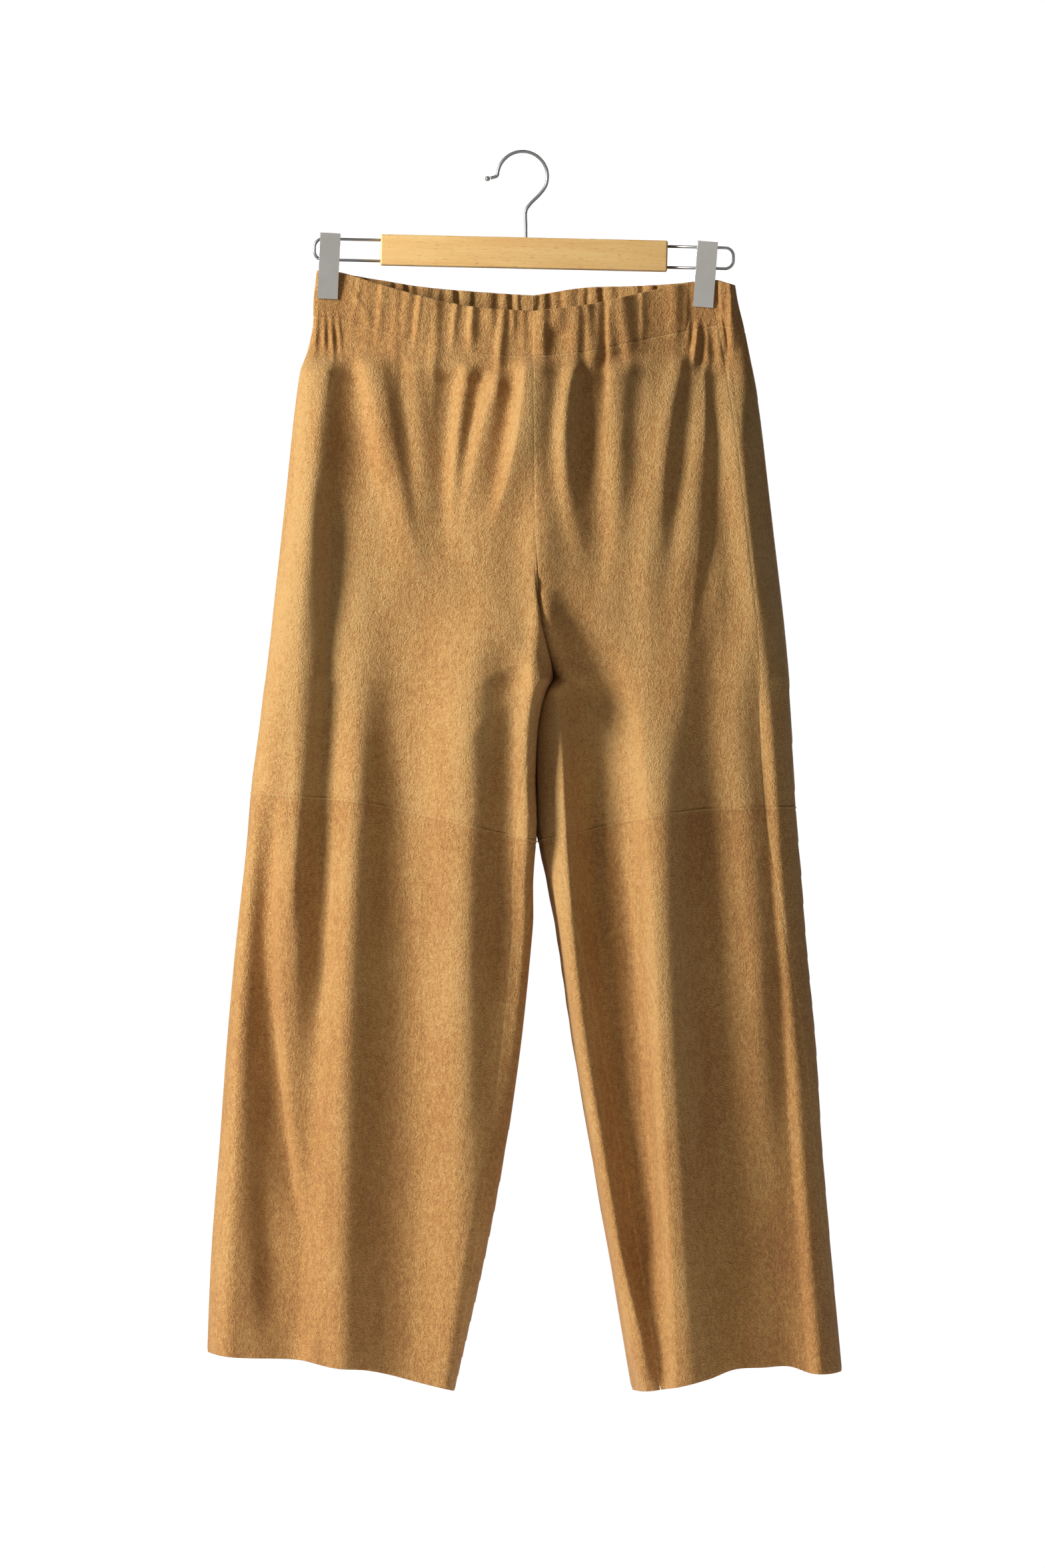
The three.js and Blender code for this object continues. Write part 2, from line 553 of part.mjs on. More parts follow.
// The hook: a straight stem, a bend out to the right, and a loop over the rail.
function makeHook() {
  const centreZ = hook.wire / 2 - hook.loopRadius;
  const at = (x, z) => new THREE.Vector3(x, 0, z);
  const onLoop = (degrees) => {
    const angle = THREE.MathUtils.degToRad(degrees);
    return at(hook.loopRadius * Math.cos(angle), centreZ + hook.loopRadius * Math.sin(angle));
  };
  const barTop = -bar.drop + bar.height / 2;
  const points = [
    at(hook.stem.x, barTop + suede.seamGap),
    at(hook.stem.x, barTop + hook.stem.straight),
    at(hook.stem.x, hook.stem.top),
  ];
  for (const place of hook.bend) points.push(at(place.x, place.z));
  const { from, to, step } = hook.turn;
  for (let degrees = from; degrees < to; degrees += step) points.push(onLoop(degrees));
  const tip = at(hook.tip.x, hook.tip.z);
  points.push(onLoop(to), at(hook.kink.x, hook.kink.z), tip);
  const path = new THREE.CatmullRomCurve3(points, false, "centripetal");
  const group = new THREE.Group();
  group.add(named("hook", wireAlong(path, hook.wire, 56), steelMaterial.clone()));
  const ball = new THREE.SphereGeometry(hook.ball / 2, 12, 8);
  const outward = at(hook.tip.x - hook.kink.x, hook.tip.z - hook.kink.z).normalize();
  const place = tip.clone().addScaledVector(outward, hook.ball / 2 + suede.seamGap);
  ball.translate(place.x, place.y, place.z);
  group.add(named("hook_ball", ball, steelMaterial.clone()));
  return group;
}

// One wire loop out of the end of the bar, in the bar's own frame.
function makeLoop(name, hand) {
  const start = bar.length / 2 + suede.seamGap;
  const { reach, upper, lower, corner } = loop;
  const path = new THREE.CurvePath();
  const at = (x, z) => new THREE.Vector3(hand * x, 0, z);
  path.add(new THREE.LineCurve3(at(start, upper), at(reach - corner, upper)));
  path.add(new THREE.QuadraticBezierCurve3(at(reach - corner, upper), at(reach, upper),
    at(reach, upper - corner)));
  path.add(new THREE.LineCurve3(at(reach, upper - corner), at(reach, lower + corner)));
  path.add(new THREE.QuadraticBezierCurve3(at(reach, lower + corner), at(reach, lower),
    at(reach - corner, lower)));
  path.add(new THREE.LineCurve3(at(reach - corner, lower), at(start, lower)));
  return named(`wire_loop_${name}`, wireAlong(path, loop.wire, 32), steelMaterial.clone());
}

// A clip: two sprung plates that close on the cloth, with a slider between the loop's wires.
function makeClip(name) {
  const { x, lean } = clipPlaces[name];
  const group = new THREE.Group();
  const slope = Math.atan2(clip.spread, clip.height);
  const middle = clip.top - clip.height / 2;
  const grip = casing.pinchedDepth + suede.seamGap;
  for (const [label, face] of [["front", -1], ["back", 1]]) {
    const plate = roundedBox(clip.width, clip.height, clip.plate, clip.edge);
    plate.rotateX(-face * slope);
    plate.translate(0, face * (grip + clip.spread / 2 + clip.plate / 2 + 0.05), middle);
    group.add(named(`clip_${name}_${label}_jaw`, plate, chromeMaterial.clone()));
  }
  const sliderTop = loop.upper - loop.wire / 2 - suede.seamGap;
  const sliderBottom = loop.lower + loop.wire / 2 + suede.seamGap;
  const height = sliderTop - sliderBottom;
  const rise0 = (sliderBottom - (clip.top - clip.height)) / clip.height;
  const halfDepth = grip + rise0 * clip.spread - suede.seamGap;
  const slider = roundedBox(clip.width - 5, height, 2 * halfDepth, 1.2);
  slider.translate(0, 0, (sliderTop + sliderBottom) / 2);
  group.add(named(`clip_${name}_slider`, slider, steelMaterial.clone()));
  group.position.set(x - bar.x, 0, 0);
  group.rotation.y = THREE.MathUtils.degToRad(lean - bar.tilt);
  return group;
}

function makeHanger() {
  const hanger = new THREE.Group();
  hanger.position.set(bar.x, 0, -bar.drop);
  hanger.rotation.y = THREE.MathUtils.degToRad(bar.tilt);
  hanger.add(named("hanger_bar", roundedBox(bar.length, bar.height, bar.depth, bar.edge),
    woodMaterial.clone()));
  hanger.add(makeLoop("left", -1));
  hanger.add(makeLoop("right", 1));
  for (const name of Object.keys(clipPlaces)) hanger.add(makeClip(name));
  return hanger;
}

const pants = new THREE.Group();
pants.add(makeCloth());
pants.add(makeHanger());
pants.add(makeHook());

export default pants;
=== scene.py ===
# Wide-leg suede pants held by two clips on a wooden hanger.
# Cloth measures are in millimetres until a mesh is made, and a "drop" is a distance below
# the inside top of the hook.
import math

import bmesh
import bpy
import numpy as np
from mathutils import Matrix, Vector


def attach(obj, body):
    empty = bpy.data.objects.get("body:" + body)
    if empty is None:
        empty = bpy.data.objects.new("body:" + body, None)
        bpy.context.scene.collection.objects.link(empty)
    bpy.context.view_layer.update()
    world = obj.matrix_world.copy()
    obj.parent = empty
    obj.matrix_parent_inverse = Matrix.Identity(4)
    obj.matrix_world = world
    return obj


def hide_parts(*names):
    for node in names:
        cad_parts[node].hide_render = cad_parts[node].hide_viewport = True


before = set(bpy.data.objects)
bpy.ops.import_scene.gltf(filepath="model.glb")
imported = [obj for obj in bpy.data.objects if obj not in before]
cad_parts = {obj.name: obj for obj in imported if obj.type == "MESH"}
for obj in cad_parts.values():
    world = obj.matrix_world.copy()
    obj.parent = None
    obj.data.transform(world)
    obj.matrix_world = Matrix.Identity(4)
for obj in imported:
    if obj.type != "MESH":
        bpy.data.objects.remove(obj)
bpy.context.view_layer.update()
millimetre = 0.001


# Curves and small helpers

def mix(start, end, share):
    return start + (end - start) * share


def smooth(start, end, value):
    t = np.clip((value - start) / (end - start), 0, 1)
    return t * t * (3 - 2 * t)


def curveThrough(keys, values, at):
    # a smooth curve through the values: its slope at a key is that between the key's neighbours
    keys, values = np.asarray(keys, float), np.asarray(values, float)
    last = len(keys) - 1
    at = np.clip(at, keys[0], keys[last])
    i = np.searchsorted(keys[1:last], at, side="left")
    before, after = np.maximum(i - 1, 0), np.minimum(i + 2, last)
    span = keys[i + 1] - keys[i]
    t = (at - keys[i]) / span
    leaving = (values[i + 1] - values[before]) / (keys[i + 1] - keys[before]) * span
    arriving = (values[after] - values[i]) / (keys[after] - keys[i]) * span
    change = values[i + 1] - values[i]
    return (values[i] + leaving * t + (3 * change - 2 * leaving - arriving) * t ** 2
            + (leaving + arriving - 2 * change) * t ** 3)


def unevenness(x, y, size, seed):
    # smooth bumps about `size` across, from -1 to 1, the same on every run
    cells, shift = 97, 300.5
    lattice = np.random.default_rng(seed).uniform(-1, 1, (cells, cells))
    x, y = x / size + shift, y / size + shift
    column, row = np.floor(x).astype(int), np.floor(y).astype(int)
    tx, ty = smooth(0, 1, x - column), smooth(0, 1, y - row)
    at = lambda dx, dy: lattice[(row + dy) % cells, (column + dx) % cells]
    return mix(mix(at(0, 0), at(1, 0), tx), mix(at(0, 1), at(1, 1), tx), ty)


# Shape of the pants. Sections: drop, side, centre or inseam, inseam's forward shift, half depth.

pants = dict(
    crotchDrop=441, crotchStart=315, crotchPower=2.4,
    casingDepth=39, pinchedDepth=2.7, seamGap=-0.3, foldSway=0.25,
    wall=1.1, casingWall=2.2, casingLayer=1.0,
    hemSlitHeight=8, hemSlitWidth=1.2, hipSquare=2.9, legSquare=3.3, backDepth=1.06,
    lensPower=1.15, loopPower=0.8, inseamPower=6,
    gripRelease=112, gripHalfWidth=11, gripShoulder=8, gripBelow=32, gripFreed=30,
    frontBlend=0.3, legTurn=20, flatCentre=0.01, fullCentre=0.14, fullFold=15, foldSlack=6,
    slackStart=150, slackEnd=260,
)

halves = dict(
    left=dict(
        hand=-1, gripInner=0.87, gripOuter=0.965, endBulge=0, insideSquare=9,
        clipX=-161.8, clipLean=2.7, clipBottom=126,
        sections=[
            (98, -173, 9, 0, 12), (124, -176, 9, 0, 13.5), (146, -176.5, 9, 0, 17),
            (180, -183.7, 9, 0, 28), (213, -188.2, 9, 0, 38), (297, -196.6, 10.5, 0, 49),
            (387, -206.6, 14.5, 0, 52), (441, -213, 25.8, 0, 51), (449, -214.3, 21.8, -5, 50),
            (460, -215.8, 17.4, -9, 49), (484, -218.6, 12.9, -12, 48), (525, -223.8, 10.9, -12, 47.5),
            (566, -227.9, 12.2, -12, 47), (611, -232.4, 9.5, -6, 48), (656, -236.9, 8.4, 0, 49),
            (745, -245.8, -0.6, 0, 51), (835, -253.1, -14, 0, 53), (924, -260.4, -30.8, 0, 55),
            (1040, -265, -57.5, 0, 56),
        ],
        # lap, waist, thigh seam, hem: lap 0 is the centre front, 1 the side, 2 the centre back
        edges=[
            (0, 133.6, 578, 1036.8), (0.2, 130.4, 570, 1030), (0.4, 121.5, 557, 1018.8),
            (0.5, 115.8, 549.8, 1016.3), (0.6, 110.5, 544, 1010.7), (0.8, 101, 539.5, 1008.6),
            (1, 99, 537, 1005.5),
            (1.2, 101.5, 539, 1008), (1.4, 106.5, 545, 1012), (1.6, 112.3, 556, 1021),
            (1.8, 116, 569, 1031), (2, 119, 578, 1038),
        ],
        # drop, lap of the side seam, lap of the inseam
        seams=[
            (98, 1, 0), (441, 1, 0), (566, 1, 0.12), (656, 1, 0.12), (835, 1, 0.11),
            (950, 1, 0.07), (1040, 1, 0.03),
        ],
    ),
    right=dict(
        hand=1, gripInner=0.765, gripOuter=0.905, endBulge=4.5, insideSquare=4,
        clipX=154.7, clipLean=4.2, clipBottom=133,
        sections=[
            (98, 177, 9, 0, 12), (124, 181, 9, 0, 13.5), (146, 186.2, 9, 0, 17),
            (180, 192.7, 9, 0, 28), (213, 197.7, 9, 0, 38), (297, 207.8, 10.5, 0, 49),
            (387, 218.4, 14.5, 0, 52), (441, 223.2, 25.8, 0, 51), (449, 223.6, 18.6, 9, 50),
            (460, 224.2, 13.6, 19, 49), (484, 225.5, 9.4, 25, 48), (525, 227.6, 8.4, 25, 47.5),
            (566, 230.2, 10.8, 20, 47), (611, 234.1, 19.6, 8, 48), (656, 237.4, 28, 0, 49),
            (745, 245.8, 41.4, 0, 51), (835, 251.4, 56.6, 0, 53), (924, 258.7, 72.2, 0, 55),
            (1040, 269, 92, 0, 56),
        ],
        edges=[
            (0, 133.6, 578, 1037), (0.2, 128.5, 571.5, 1034.6), (0.4, 119.3, 559.5, 1025.5),
            (0.5, 115.1, 554.8, 1018), (0.6, 111.5, 551, 1017), (0.7, 108.6, 550.2, 1016.3),
            (0.8, 106.2, 549.6, 1022), (1, 111, 549, 1021.5),
            (1.2, 107, 550, 1021), (1.4, 109.7, 552, 1022), (1.6, 111.5, 560, 1026),
            (1.8, 112.6, 571, 1033), (2, 119, 578, 1037),
        ],
        seams=[
            (98, 0.8, 0), (441, 0.815, 0), (566, 0.825, 0.12), (656, 0.86, 0.15),
            (745, 0.9, 0.18), (835, 0.93, 0.19), (950, 0.955, 0.2), (1040, 0.965, 0.2),
        ],
    ),
)

# Folds: top, end, x of the crest at head, middle and foot, left flank, right flank, rise,
# fade in, fade out.
frontFolds = [
    (165, 797, -164.2, -190.6, -187.7, 32.5, 12.4, 16.8, 20, 190),
    (165, 379, -121.2, -104.2, -83.4, 10.1, 6.7, 6.6, 16, 90),
    (165, 376, -90.8, -83.3, -83.1, 6.3, 10, 3.5, 16, 80),
    (174, 342, -45.4, -55.3, -57.8, 4.5, 6.6, 10.2, 16, 90),
    (180, 334, -19.7, -38.6, -49.4, 5.1, 10.3, 10.4, 16, 80),
    (169, 329, 4, -5.9, -26.8, 4.9, 15.1, 16, 16, 90),
    (165, 1044, 25.4, 23.6, 104.3, 9.4, 12.7, 6.3, 30, 110),
    (170, 354, 45.2, 36.4, 52.7, 6.2, 8.3, 11.5, 16, 120),
    (169, 357, 81.3, 74.9, 79.7, 9.2, 10.2, 12.2, 16, 120),
    (165, 383, 134.6, 117.8, 117.2, 7.9, 5.7, 6.5, 16, 130),
    (173, 433, 150.6, 148.9, 133, 10.7, 4, 5.9, 16, 120),
    (165, 1100, 180.8, 189.3, 248.7, 13.9, 28.7, 6.8, 40, 1),
    (330, 1100, -40.6, -46.1, -28.2, 22.3, 18.4, 15.9, 120, 1),
    (388, 1100, -128.8, -145.8, -147, 11.3, 12.5, 10.3, 150, 1),
    (530, 1100, -160.6, -178.3, -196.6, 15.2, 9.2, -11.3, 120, 1),
    (426, 1079, 30.3, 50.1, 122.8, 20.9, 4.3, 15.6, 100, 140),
    (433, 1100, 97.8, 116.4, 133.7, 6, 17.5, 14.2, 150, 1),
    (207, 1100, 153.3, 127.3, 153.4, 13.4, 11.9, 6.1, 120, 1),
    (551, 983, 88, 109.4, 126.2, 5, 11.9, 6.8, 90, 110),
    (265, 688, -163.4, -164.9, -195.2, 5.2, 16.6, -8, 60, 120),
    (526, 913, -205.9, -209.3, -184, 11.7, 3.7, -10.9, 60, 60),
    (552, 1031, -215.4, -216.6, -207.2, 8.5, 14.1, -10, 80, 110),
    (165, 1100, -146.2, -96, -107.7, 25.8, 34, -10.9, 100, 1),
    (359, 806, 14.4, 11.9, 2.2, 5.6, 13, 16.9, 60, 80),
    (354, 1087, 15.7, 54.2, 102.6, 33.7, 7.7, 15.2, 60, 100),
    (186, 1100, 171.4, 179.6, 234.6, 34, 12.4, -9.6, 100, 1),
    (394, 1100, 191.1, 217.1, 242.5, 12.5, 5, -9.5, 100, 1),
    (296, 488, -76.5, -50.5, -76.1, 25, 15.9, -7.1, 80, 100),
    (382, 1001, 51.7, 91.8, 99.8, 16.5, 18, -13.1, 80, 100),
    (166, 303, -135.8, -121.7, -115.5, 4.6, 8.3, 6.1, 16, 60),
    (165, 397, 76.4, 70, 57.4, 10.3, 6.7, -3.9, 16, 80),
    (165, 469, 109.3, 106.1, 109.9, 9.4, 13.5, 4.5, 16, 80),
    (179, 359, -52.6, -54.6, -76.8, 25.7, 17, -10.5, 16, 60),
    (393, 1100, 95.6, 104.8, 99.1, 15.1, 15.6, 3.3, 120, 1),
    (336, 693, -170.8, -197.2, -208.2, 16.6, 15.8, -8.2, 90, 110),
    (204, 434, 164.9, 148.9, 135.1, 7.6, 9.1, -4.4, 60, 90),
    (380, 1100, -1.7, -29, -37.9, 12.1, 15.3, -7.5, 120, 1),
    (404, 1100, -200.3, -200.4, -212.6, 14.8, 14.6, -1.7, 120, 1),
    (192, 462, 181.6, 190.1, 218.7, 9.3, 7.6, 8.1, 60, 90),
    (652, 1100, 215.4, 215.3, 217.3, 15.9, 15, -4.4, 110, 1),
    (198, 460, 159.1, 157.2, 150, 16.1, 15.9, 6.1, 60, 90),
    (421, 1100, -232.1, -241.4, -251, 10, 8.9, 9.1, 120, 1),
    (493, 865, 195, 202.6, 196.9, 15.9, 16.6, 3.4, 90, 110),
    (486, 881, 54.8, 60.3, 91.6, 9, 8.1, -9, 90, 110),
    (404, 1100, 100, 113.1, 112.7, 15.4, 16.1, 3, 120, 1),
    (616, 1100, 90.8, 105.1, 104.6, 8.5, 8.7, 2.6, 110, 1),
    (405, 1100, -5, 9.6, 24.1, 18.4, 15.7, -7, 120, 1),
    (434, 1100, 106.6, 105.1, 118.4, 9.9, 9.6, -3.4, 120, 1),
]
backFolds = [
    (158, 330, -118, -112, -108, 9, 10, 6, 14, 100),
    (158, 360, -78, -84, -92, 8, 9, 6, 14, 120),
    (158, 310, -34, -40, -44, 8, 7, 5.5, 14, 90),
    (158, 345, 38, 45, 52, 7, 8, 6, 14, 110),
    (158, 320, 82, 84, 92, 9, 9, 6.5, 14, 100),
    (158, 370, 124, 128, 134, 9, 8, 6, 14, 120),
    (390, 1060, -60, -74, -92, 20, 17, 10, 150, 1),
    (430, 1060, -158, -172, -186, 15, 18, 10, 160, 1),
    (390, 1060, 74, 92, 128, 16, 18, 10, 150, 1),
    (430, 1060, 168, 184, 206, 17, 15, 10, 160, 1),
]

# Gathers waver a little on their way down, and fade after their held share.
gatherWaver = dict(reach=0.8, size=19, seed=5, heldShare=0.35)
# Gathers of the elastic: x of the crest at the waist and at its foot, length, left flank,
# right flank, rise.
frontGathers = [
    (-136.6, -147.5, 66, 1.5, 2.3, 0.9), (-129, -133.3, 80, 3.3, 3.7, 1), (-117, -123.6, 61, 1.5, 4.1, 2.2),
    (-105.9, -107, 110, 4.3, 1.7, 1.6), (-96.2, -102.1, 62, 4.2, 3.9, 2.4), (-86.1, -91.4, 56, 1.5, 2.8, 4.3),
    (-79.5, -84.9, 55, 2.5, 4.2, 3.2), (-71.7, -75.9, 110, 3.2, 3.3, 2.8), (-55.4, -61.1, 50, 1.5, 2.4, 2.5),
    (-42.2, -45.4, 46, 1.5, 3.6, 4.5), (-26.5, -26.6, 25, 5.5, 3.3, 3.1), (-16.3, -25.5, 100, 2.5, 3.5, 3.6),
    (-8, -8.4, 30, 1.7, 2.5, 2.1), (0.5, 2.5, 48, 3, 2.3, 1.5), (17.2, 16.5, 63, 6, 3.9, 5.5),
    (30.1, 29.1, 24, 5.7, 6, 5.1), (46, 43, 73, 6, 4.7, 5.5), (55.4, 59.3, 110, 3.1, 3.9, 3.8),
    (65, 59.3, 110, 3.1, 3.1, 2.2), (73, 71.5, 110, 1.5, 5.4, 3.5), (82.7, 92.9, 83, 4.1, 5.7, 4.2),
    (100.2, 99, 61, 1.5, 2.7, 1.5), (127.6, 129.6, 80, 5.1, 4.7, 2.8), (142, 136.9, 71, 2.8, 1.5, 4.1),
    (151.1, 141.1, 81, 2.2, 2.1, 5.5), (163.5, 171.2, 73, 3.3, 1.5, 5.5), (174.2, 174.7, 110, 1.5, 2.9, 2.6),
]
backGathers = [
    (-142 + 11 * i + 2.4 * math.sin(2.3 * i), -146 + 11.3 * i + 3 * math.sin(1.7 * i),
     62 + 24 * math.sin(2.9 * i), 2.2 + math.sin(1.3 * i), 2.6 + math.sin(3.1 * i),
     2 + 0.9 * math.sin(1.7 * i + 0.6))
    for i in range(28)
]

# Unevenness of the cloth: rise, size, seed, squeeze of its drop, and whether it needs slack cloth.
unevenCloth = [
    (0.5, 19, 1, 0.4, True), (0.9, 43, 2, 0.3, True), (0.12, 6, 3, 1, False), (0.06, 2.6, 4, 1, False),
]

# Fine creases: x and drop of one end, x and drop of the other, half width, rise.
frontCreases = [
    (-171.5, 116, -175, 178, 1.5, 1.8), (-167, 118, -166, 176, 1.4, 2),
    (-162, 120, -158, 184, 1.5, 2.2), (-157, 118, -151, 176, 1.3, 1.7),
    (148, 137, 143, 190, 2.4, 2.2), (155, 137, 155, 188, 2.4, 2.4),
    (161, 136, 168, 186, 2.2, 1.8), (-146, 112, -122, 148, 1.6, 0.9),
    (-142, 128, -116, 158, 1.5, 0.8), (20, 424, 74, 452, 4, 1.2),
    (22, 436, 96, 512, 5, 1.4), (14, 418, -48, 452, 4, 1.1), (10, 440, -60, 506, 5, 1.2),
]


def legShare(drop):
    span = pants["crotchDrop"] - pants["crotchStart"]
    return np.clip((drop - pants["crotchStart"]) / span, 0, 1) ** pants["crotchPower"]


def sectionAt(half, column, drop):
    rows = np.array(half["sections"], float)
    return curveThrough(rows[:, 0], rows[:, column], drop)


def edgeAt(half, column, lap):
    rows = np.array(half["edges"], float)
    return curveThrough(rows[:, 0], rows[:, column], np.where(lap > 2, lap - 2, lap))


def seamAt(half, column, drop):
    rows = np.array(half["seams"], float)
    return curveThrough(rows[:, 0], rows[:, column], drop)


def waistDepth(half, fraction, middleDepth):
    # a lens between the clips, flat in each clip, and a small loop at the side
    inner, outer, pinched = half["gripInner"], half["gripOuter"], pants["pinchedDepth"]
    lens = np.clip(1 - (fraction / inner) ** 2, 0, 1) ** pants["lensPower"]
    end = np.clip((fraction - outer) / (1 - outer), 0, 1)
    loop = (pinched * np.sqrt(1 - end ** 2)
            + half["endBulge"] * np.clip(np.sin(math.pi * end), 0, 1) ** pants["loopPower"])
    return np.where(fraction < inner, mix(pinched, middleDepth, lens),
                    np.where(fraction < outer, pinched, loop))


def roundedProfile(fraction, power):
    return np.clip(1 - fraction ** power, 0, 1) ** (1 / power)


def plan(half, lap, drop):
    # the unfolded cloth: over the front for laps 0 to 1, over the back from 1 to 2
    isOpen = drop < pants["crotchDrop"]
    along = np.where(isOpen, np.clip(lap, 0, 2), np.mod(lap, 2))
    u = np.where(along <= 1, along, 2 - along)
    face = np.where(along <= 1, -1.0, 1.0)
    share = legShare(drop)
    outer = sectionAt(half, 1, drop)
    inner = sectionAt(half, 2, drop) + half["hand"] * share * pants["seamGap"] / 2
    depth = sectionAt(half, 4, drop) * np.where(face > 0, pants["backDepth"], 1)

    hipFraction = 0.5 * u + 0.5 * np.sin(math.pi * u / 2)
    release = smooth(half["clipBottom"], half["clipBottom"] + pants["gripRelease"], drop)
    hipDepth = mix(waistDepth(half, hipFraction, depth),
                   depth * roundedProfile(hipFraction, pants["hipSquare"]), release)
    hipX, hipY = mix(inner, outer, hipFraction), face * hipDepth

    legFraction = 0.4 * u + 0.3 * (1 - np.cos(math.pi * u))
    legX = mix(inner, outer, legFraction)
    square = np.where(legFraction < 0.5, half["insideSquare"], pants["legSquare"])
    legY = (face * depth * roundedProfile(np.abs(2 * legFraction - 1), square)
            + sectionAt(half, 3, drop) * (1 - legFraction) ** pants["inseamPower"])
    return dict(x=mix(hipX, legX, share), y=mix(hipY, legY, share), u=u, share=share,
                facing=face * hipDepth / depth)


def planFrame(half, lap, drop):
    # the run of the lap in plan, and the way out of the cloth
    step, tiny, atEnd = 0.004, 1e-9, 0.001
    isOpen = drop < pants["crotchDrop"]
    low = np.where(isOpen, np.maximum(lap - step, 0), lap - step)
    high = np.where(isOpen, np.minimum(lap + step, 2), lap + step)
    before, after = plan(half, low, drop), plan(half, high, drop)
    run = np.stack([after["x"] - before["x"], after["y"] - before["y"]])
    run = run / np.maximum(np.hypot(*run), tiny)
    out = np.stack([run[1], -run[0]]) * half["hand"]
    share = legShare(drop)
    centre = np.stack([-half["hand"] * share, np.where(lap < 1, -1.0, 1.0) * (1 - share)])
    centre = centre / np.maximum(np.hypot(*centre), tiny)
    atCentre = isOpen & ((lap < atEnd) | (lap > 2 - atEnd))
    return run, np.where(atCentre, centre, out)


def foldSum(folds, x, drop):
    # each fold's crest runs on a parabola through its three places
    total = np.zeros_like(x)
    for top, end, head, middle, foot, left, right, rise, fadeIn, fadeOut in folds:
        t = np.clip((drop - top) / (end - top), 0, 1)
        crest = (head + (4 * middle - 3 * head - foot) * t
                 + 2 * (head - 2 * middle + foot) * t * t)
        away = x - crest
        reach = away / np.where(away < 0, left, right)
        fade = smooth(top, top + fadeIn, drop) * (1 - smooth(end - fadeOut, end, drop))
        total += rise * fade * np.exp(-0.5 * reach ** 2)
    return total


def gatherSum(gathers, x, drop, waistDrop):
    waver = unevenness(x, drop, gatherWaver["size"], gatherWaver["seed"])
    leaning = x + gatherWaver["reach"] * waver
    total = np.zeros_like(x)
    for head, foot, length, left, right, rise in gathers:
        t = np.clip((drop - waistDrop) / length, 0, 1)
        away = leaning - mix(head, foot, t)
        reach = away / np.where(away < 0, left, right)
        total += rise * (1 - smooth(gatherWaver["heldShare"], 1, t)) * np.exp(-0.5 * reach ** 2)
    return total


def creaseSum(creases, x, drop):
    total = np.zeros_like(x)
    for x0, drop0, x1, drop1, width, rise in creases:
        length = math.hypot(x1 - x0, drop1 - drop0)
        alongX, alongDrop = (x1 - x0) / length, (drop1 - drop0) / length
        t = ((x - x0) * alongX + (drop - drop0) * alongDrop) / length
        away = (x - x0) * alongDrop - (drop - drop0) * alongX
        fade = smooth(-0.05, 0.25, t) * (1 - smooth(0.6, 1.05, t))
        total += rise * fade * np.exp(-0.5 * (away / width) ** 2)
    return total


def rise(half, lap, drop):
    # how far the cloth stands out of its plan
    place = plan(half, lap, drop)
    x = place["x"]
    waistDrop = edgeAt(half, 1, lap)
    nearSide = mix(place["facing"], place["y"] / pants["legTurn"], place["share"])
    frontShare = 1 - smooth(-pants["frontBlend"], pants["frontBlend"], nearSide)
    front = (gatherSum(frontGathers, x, drop, waistDrop) + foldSum(frontFolds, x, drop)
             + creaseSum(frontCreases, x, drop))
    back = gatherSum(backGathers, x, drop, waistDrop) + foldSum(backFolds, x, drop)
    total = mix(back, front, frontShare)
    gripX = half["clipX"] - pants["gripBelow"] * math.sin(math.radians(half["clipLean"]))
    clear = smooth(pants["gripHalfWidth"], pants["gripHalfWidth"] + pants["gripShoulder"],
                   np.abs(x - gripX))
    freed = smooth(half["clipBottom"], half["clipBottom"] + pants["gripFreed"], drop)
    inside = mix(1, smooth(pants["flatCentre"], pants["fullCentre"], place["u"]), place["share"])
    total = total * np.maximum(clear, freed) * inside
    # cloth runs out where folds heap up
    over = np.maximum(total - pants["fullFold"], 0) / pants["foldSlack"]
    total = np.minimum(total, pants["fullFold"]) + pants["foldSlack"] * np.tanh(over)
    slack = smooth(pants["slackStart"], pants["slackEnd"], drop)
    for height, size, seed, squeeze, needsSlack in unevenCloth:
        total += (slack if needsSlack else 1) * height * unevenness(x, drop * squeeze, size, seed)
    return total


# Cloth pieces

clothPieces = dict(
    casing=dict(lines=("waist", "casing"), rows=(46,), columns=dict(front=210, back=170)),
    upper=dict(lines=("casing", "crotch", "thigh"), rows=(150, 62), columns=dict(front=170, back=110)),
    lower=dict(lines=("thigh", "hem"), rows=(200,), columns=dict(front=120, back=110)),
)
# how pale each piece is at its top, and how much paler it gets on the way to its foot; the darkening down the
# lower pieces is painted shade of the light falling off towards the hem
panelTonesAndFalloffShade = dict(casing=(0.14, -0.2), upper=(0.11, 0.05), lower=(0.02, -0.16))
# paler cloth along every edge of a piece: partly rubbed nap, partly a painted highlight where the seam ridges
# catch the light
edgeWearAndHighlight = dict(rise=0.3, near=0.2, far=1.6)
# depth and width of the roll at each kind of edge, and how unevenly it puckers
seamRoll = dict(depth=0.35, width=1.8, pucker=0.3, puckerLength=7)
casingRoll = dict(depth=0.35, width=1.4, pucker=0.5, puckerLength=5)
thighRoll = dict(depth=0.3, width=1)
hemRoll = dict(depth=0.4, width=1.4)
# the lower panel laps over the upper one: height of the lap, its shoulder, and its stitched groove
thighLap = dict(height=0.5, near=0.5, far=2, groove=0.35, grooveAt=2.9, grooveWidth=0.7)
sheetSteps = dict(crowd=0.35, tight=0.0008, slitFade=3)


def lineDrop(half, line, lap):
    if line == "crotch":
        return np.full_like(lap, pants["crotchDrop"])
    if line == "waist":
        return edgeAt(half, 1, lap) + pants["casingWall"] / 2
    if line == "casing":
        return edgeAt(half, 1, lap) + pants["casingDepth"]
    return edgeAt(half, dict(thigh=2, hem=3)[line], lap)


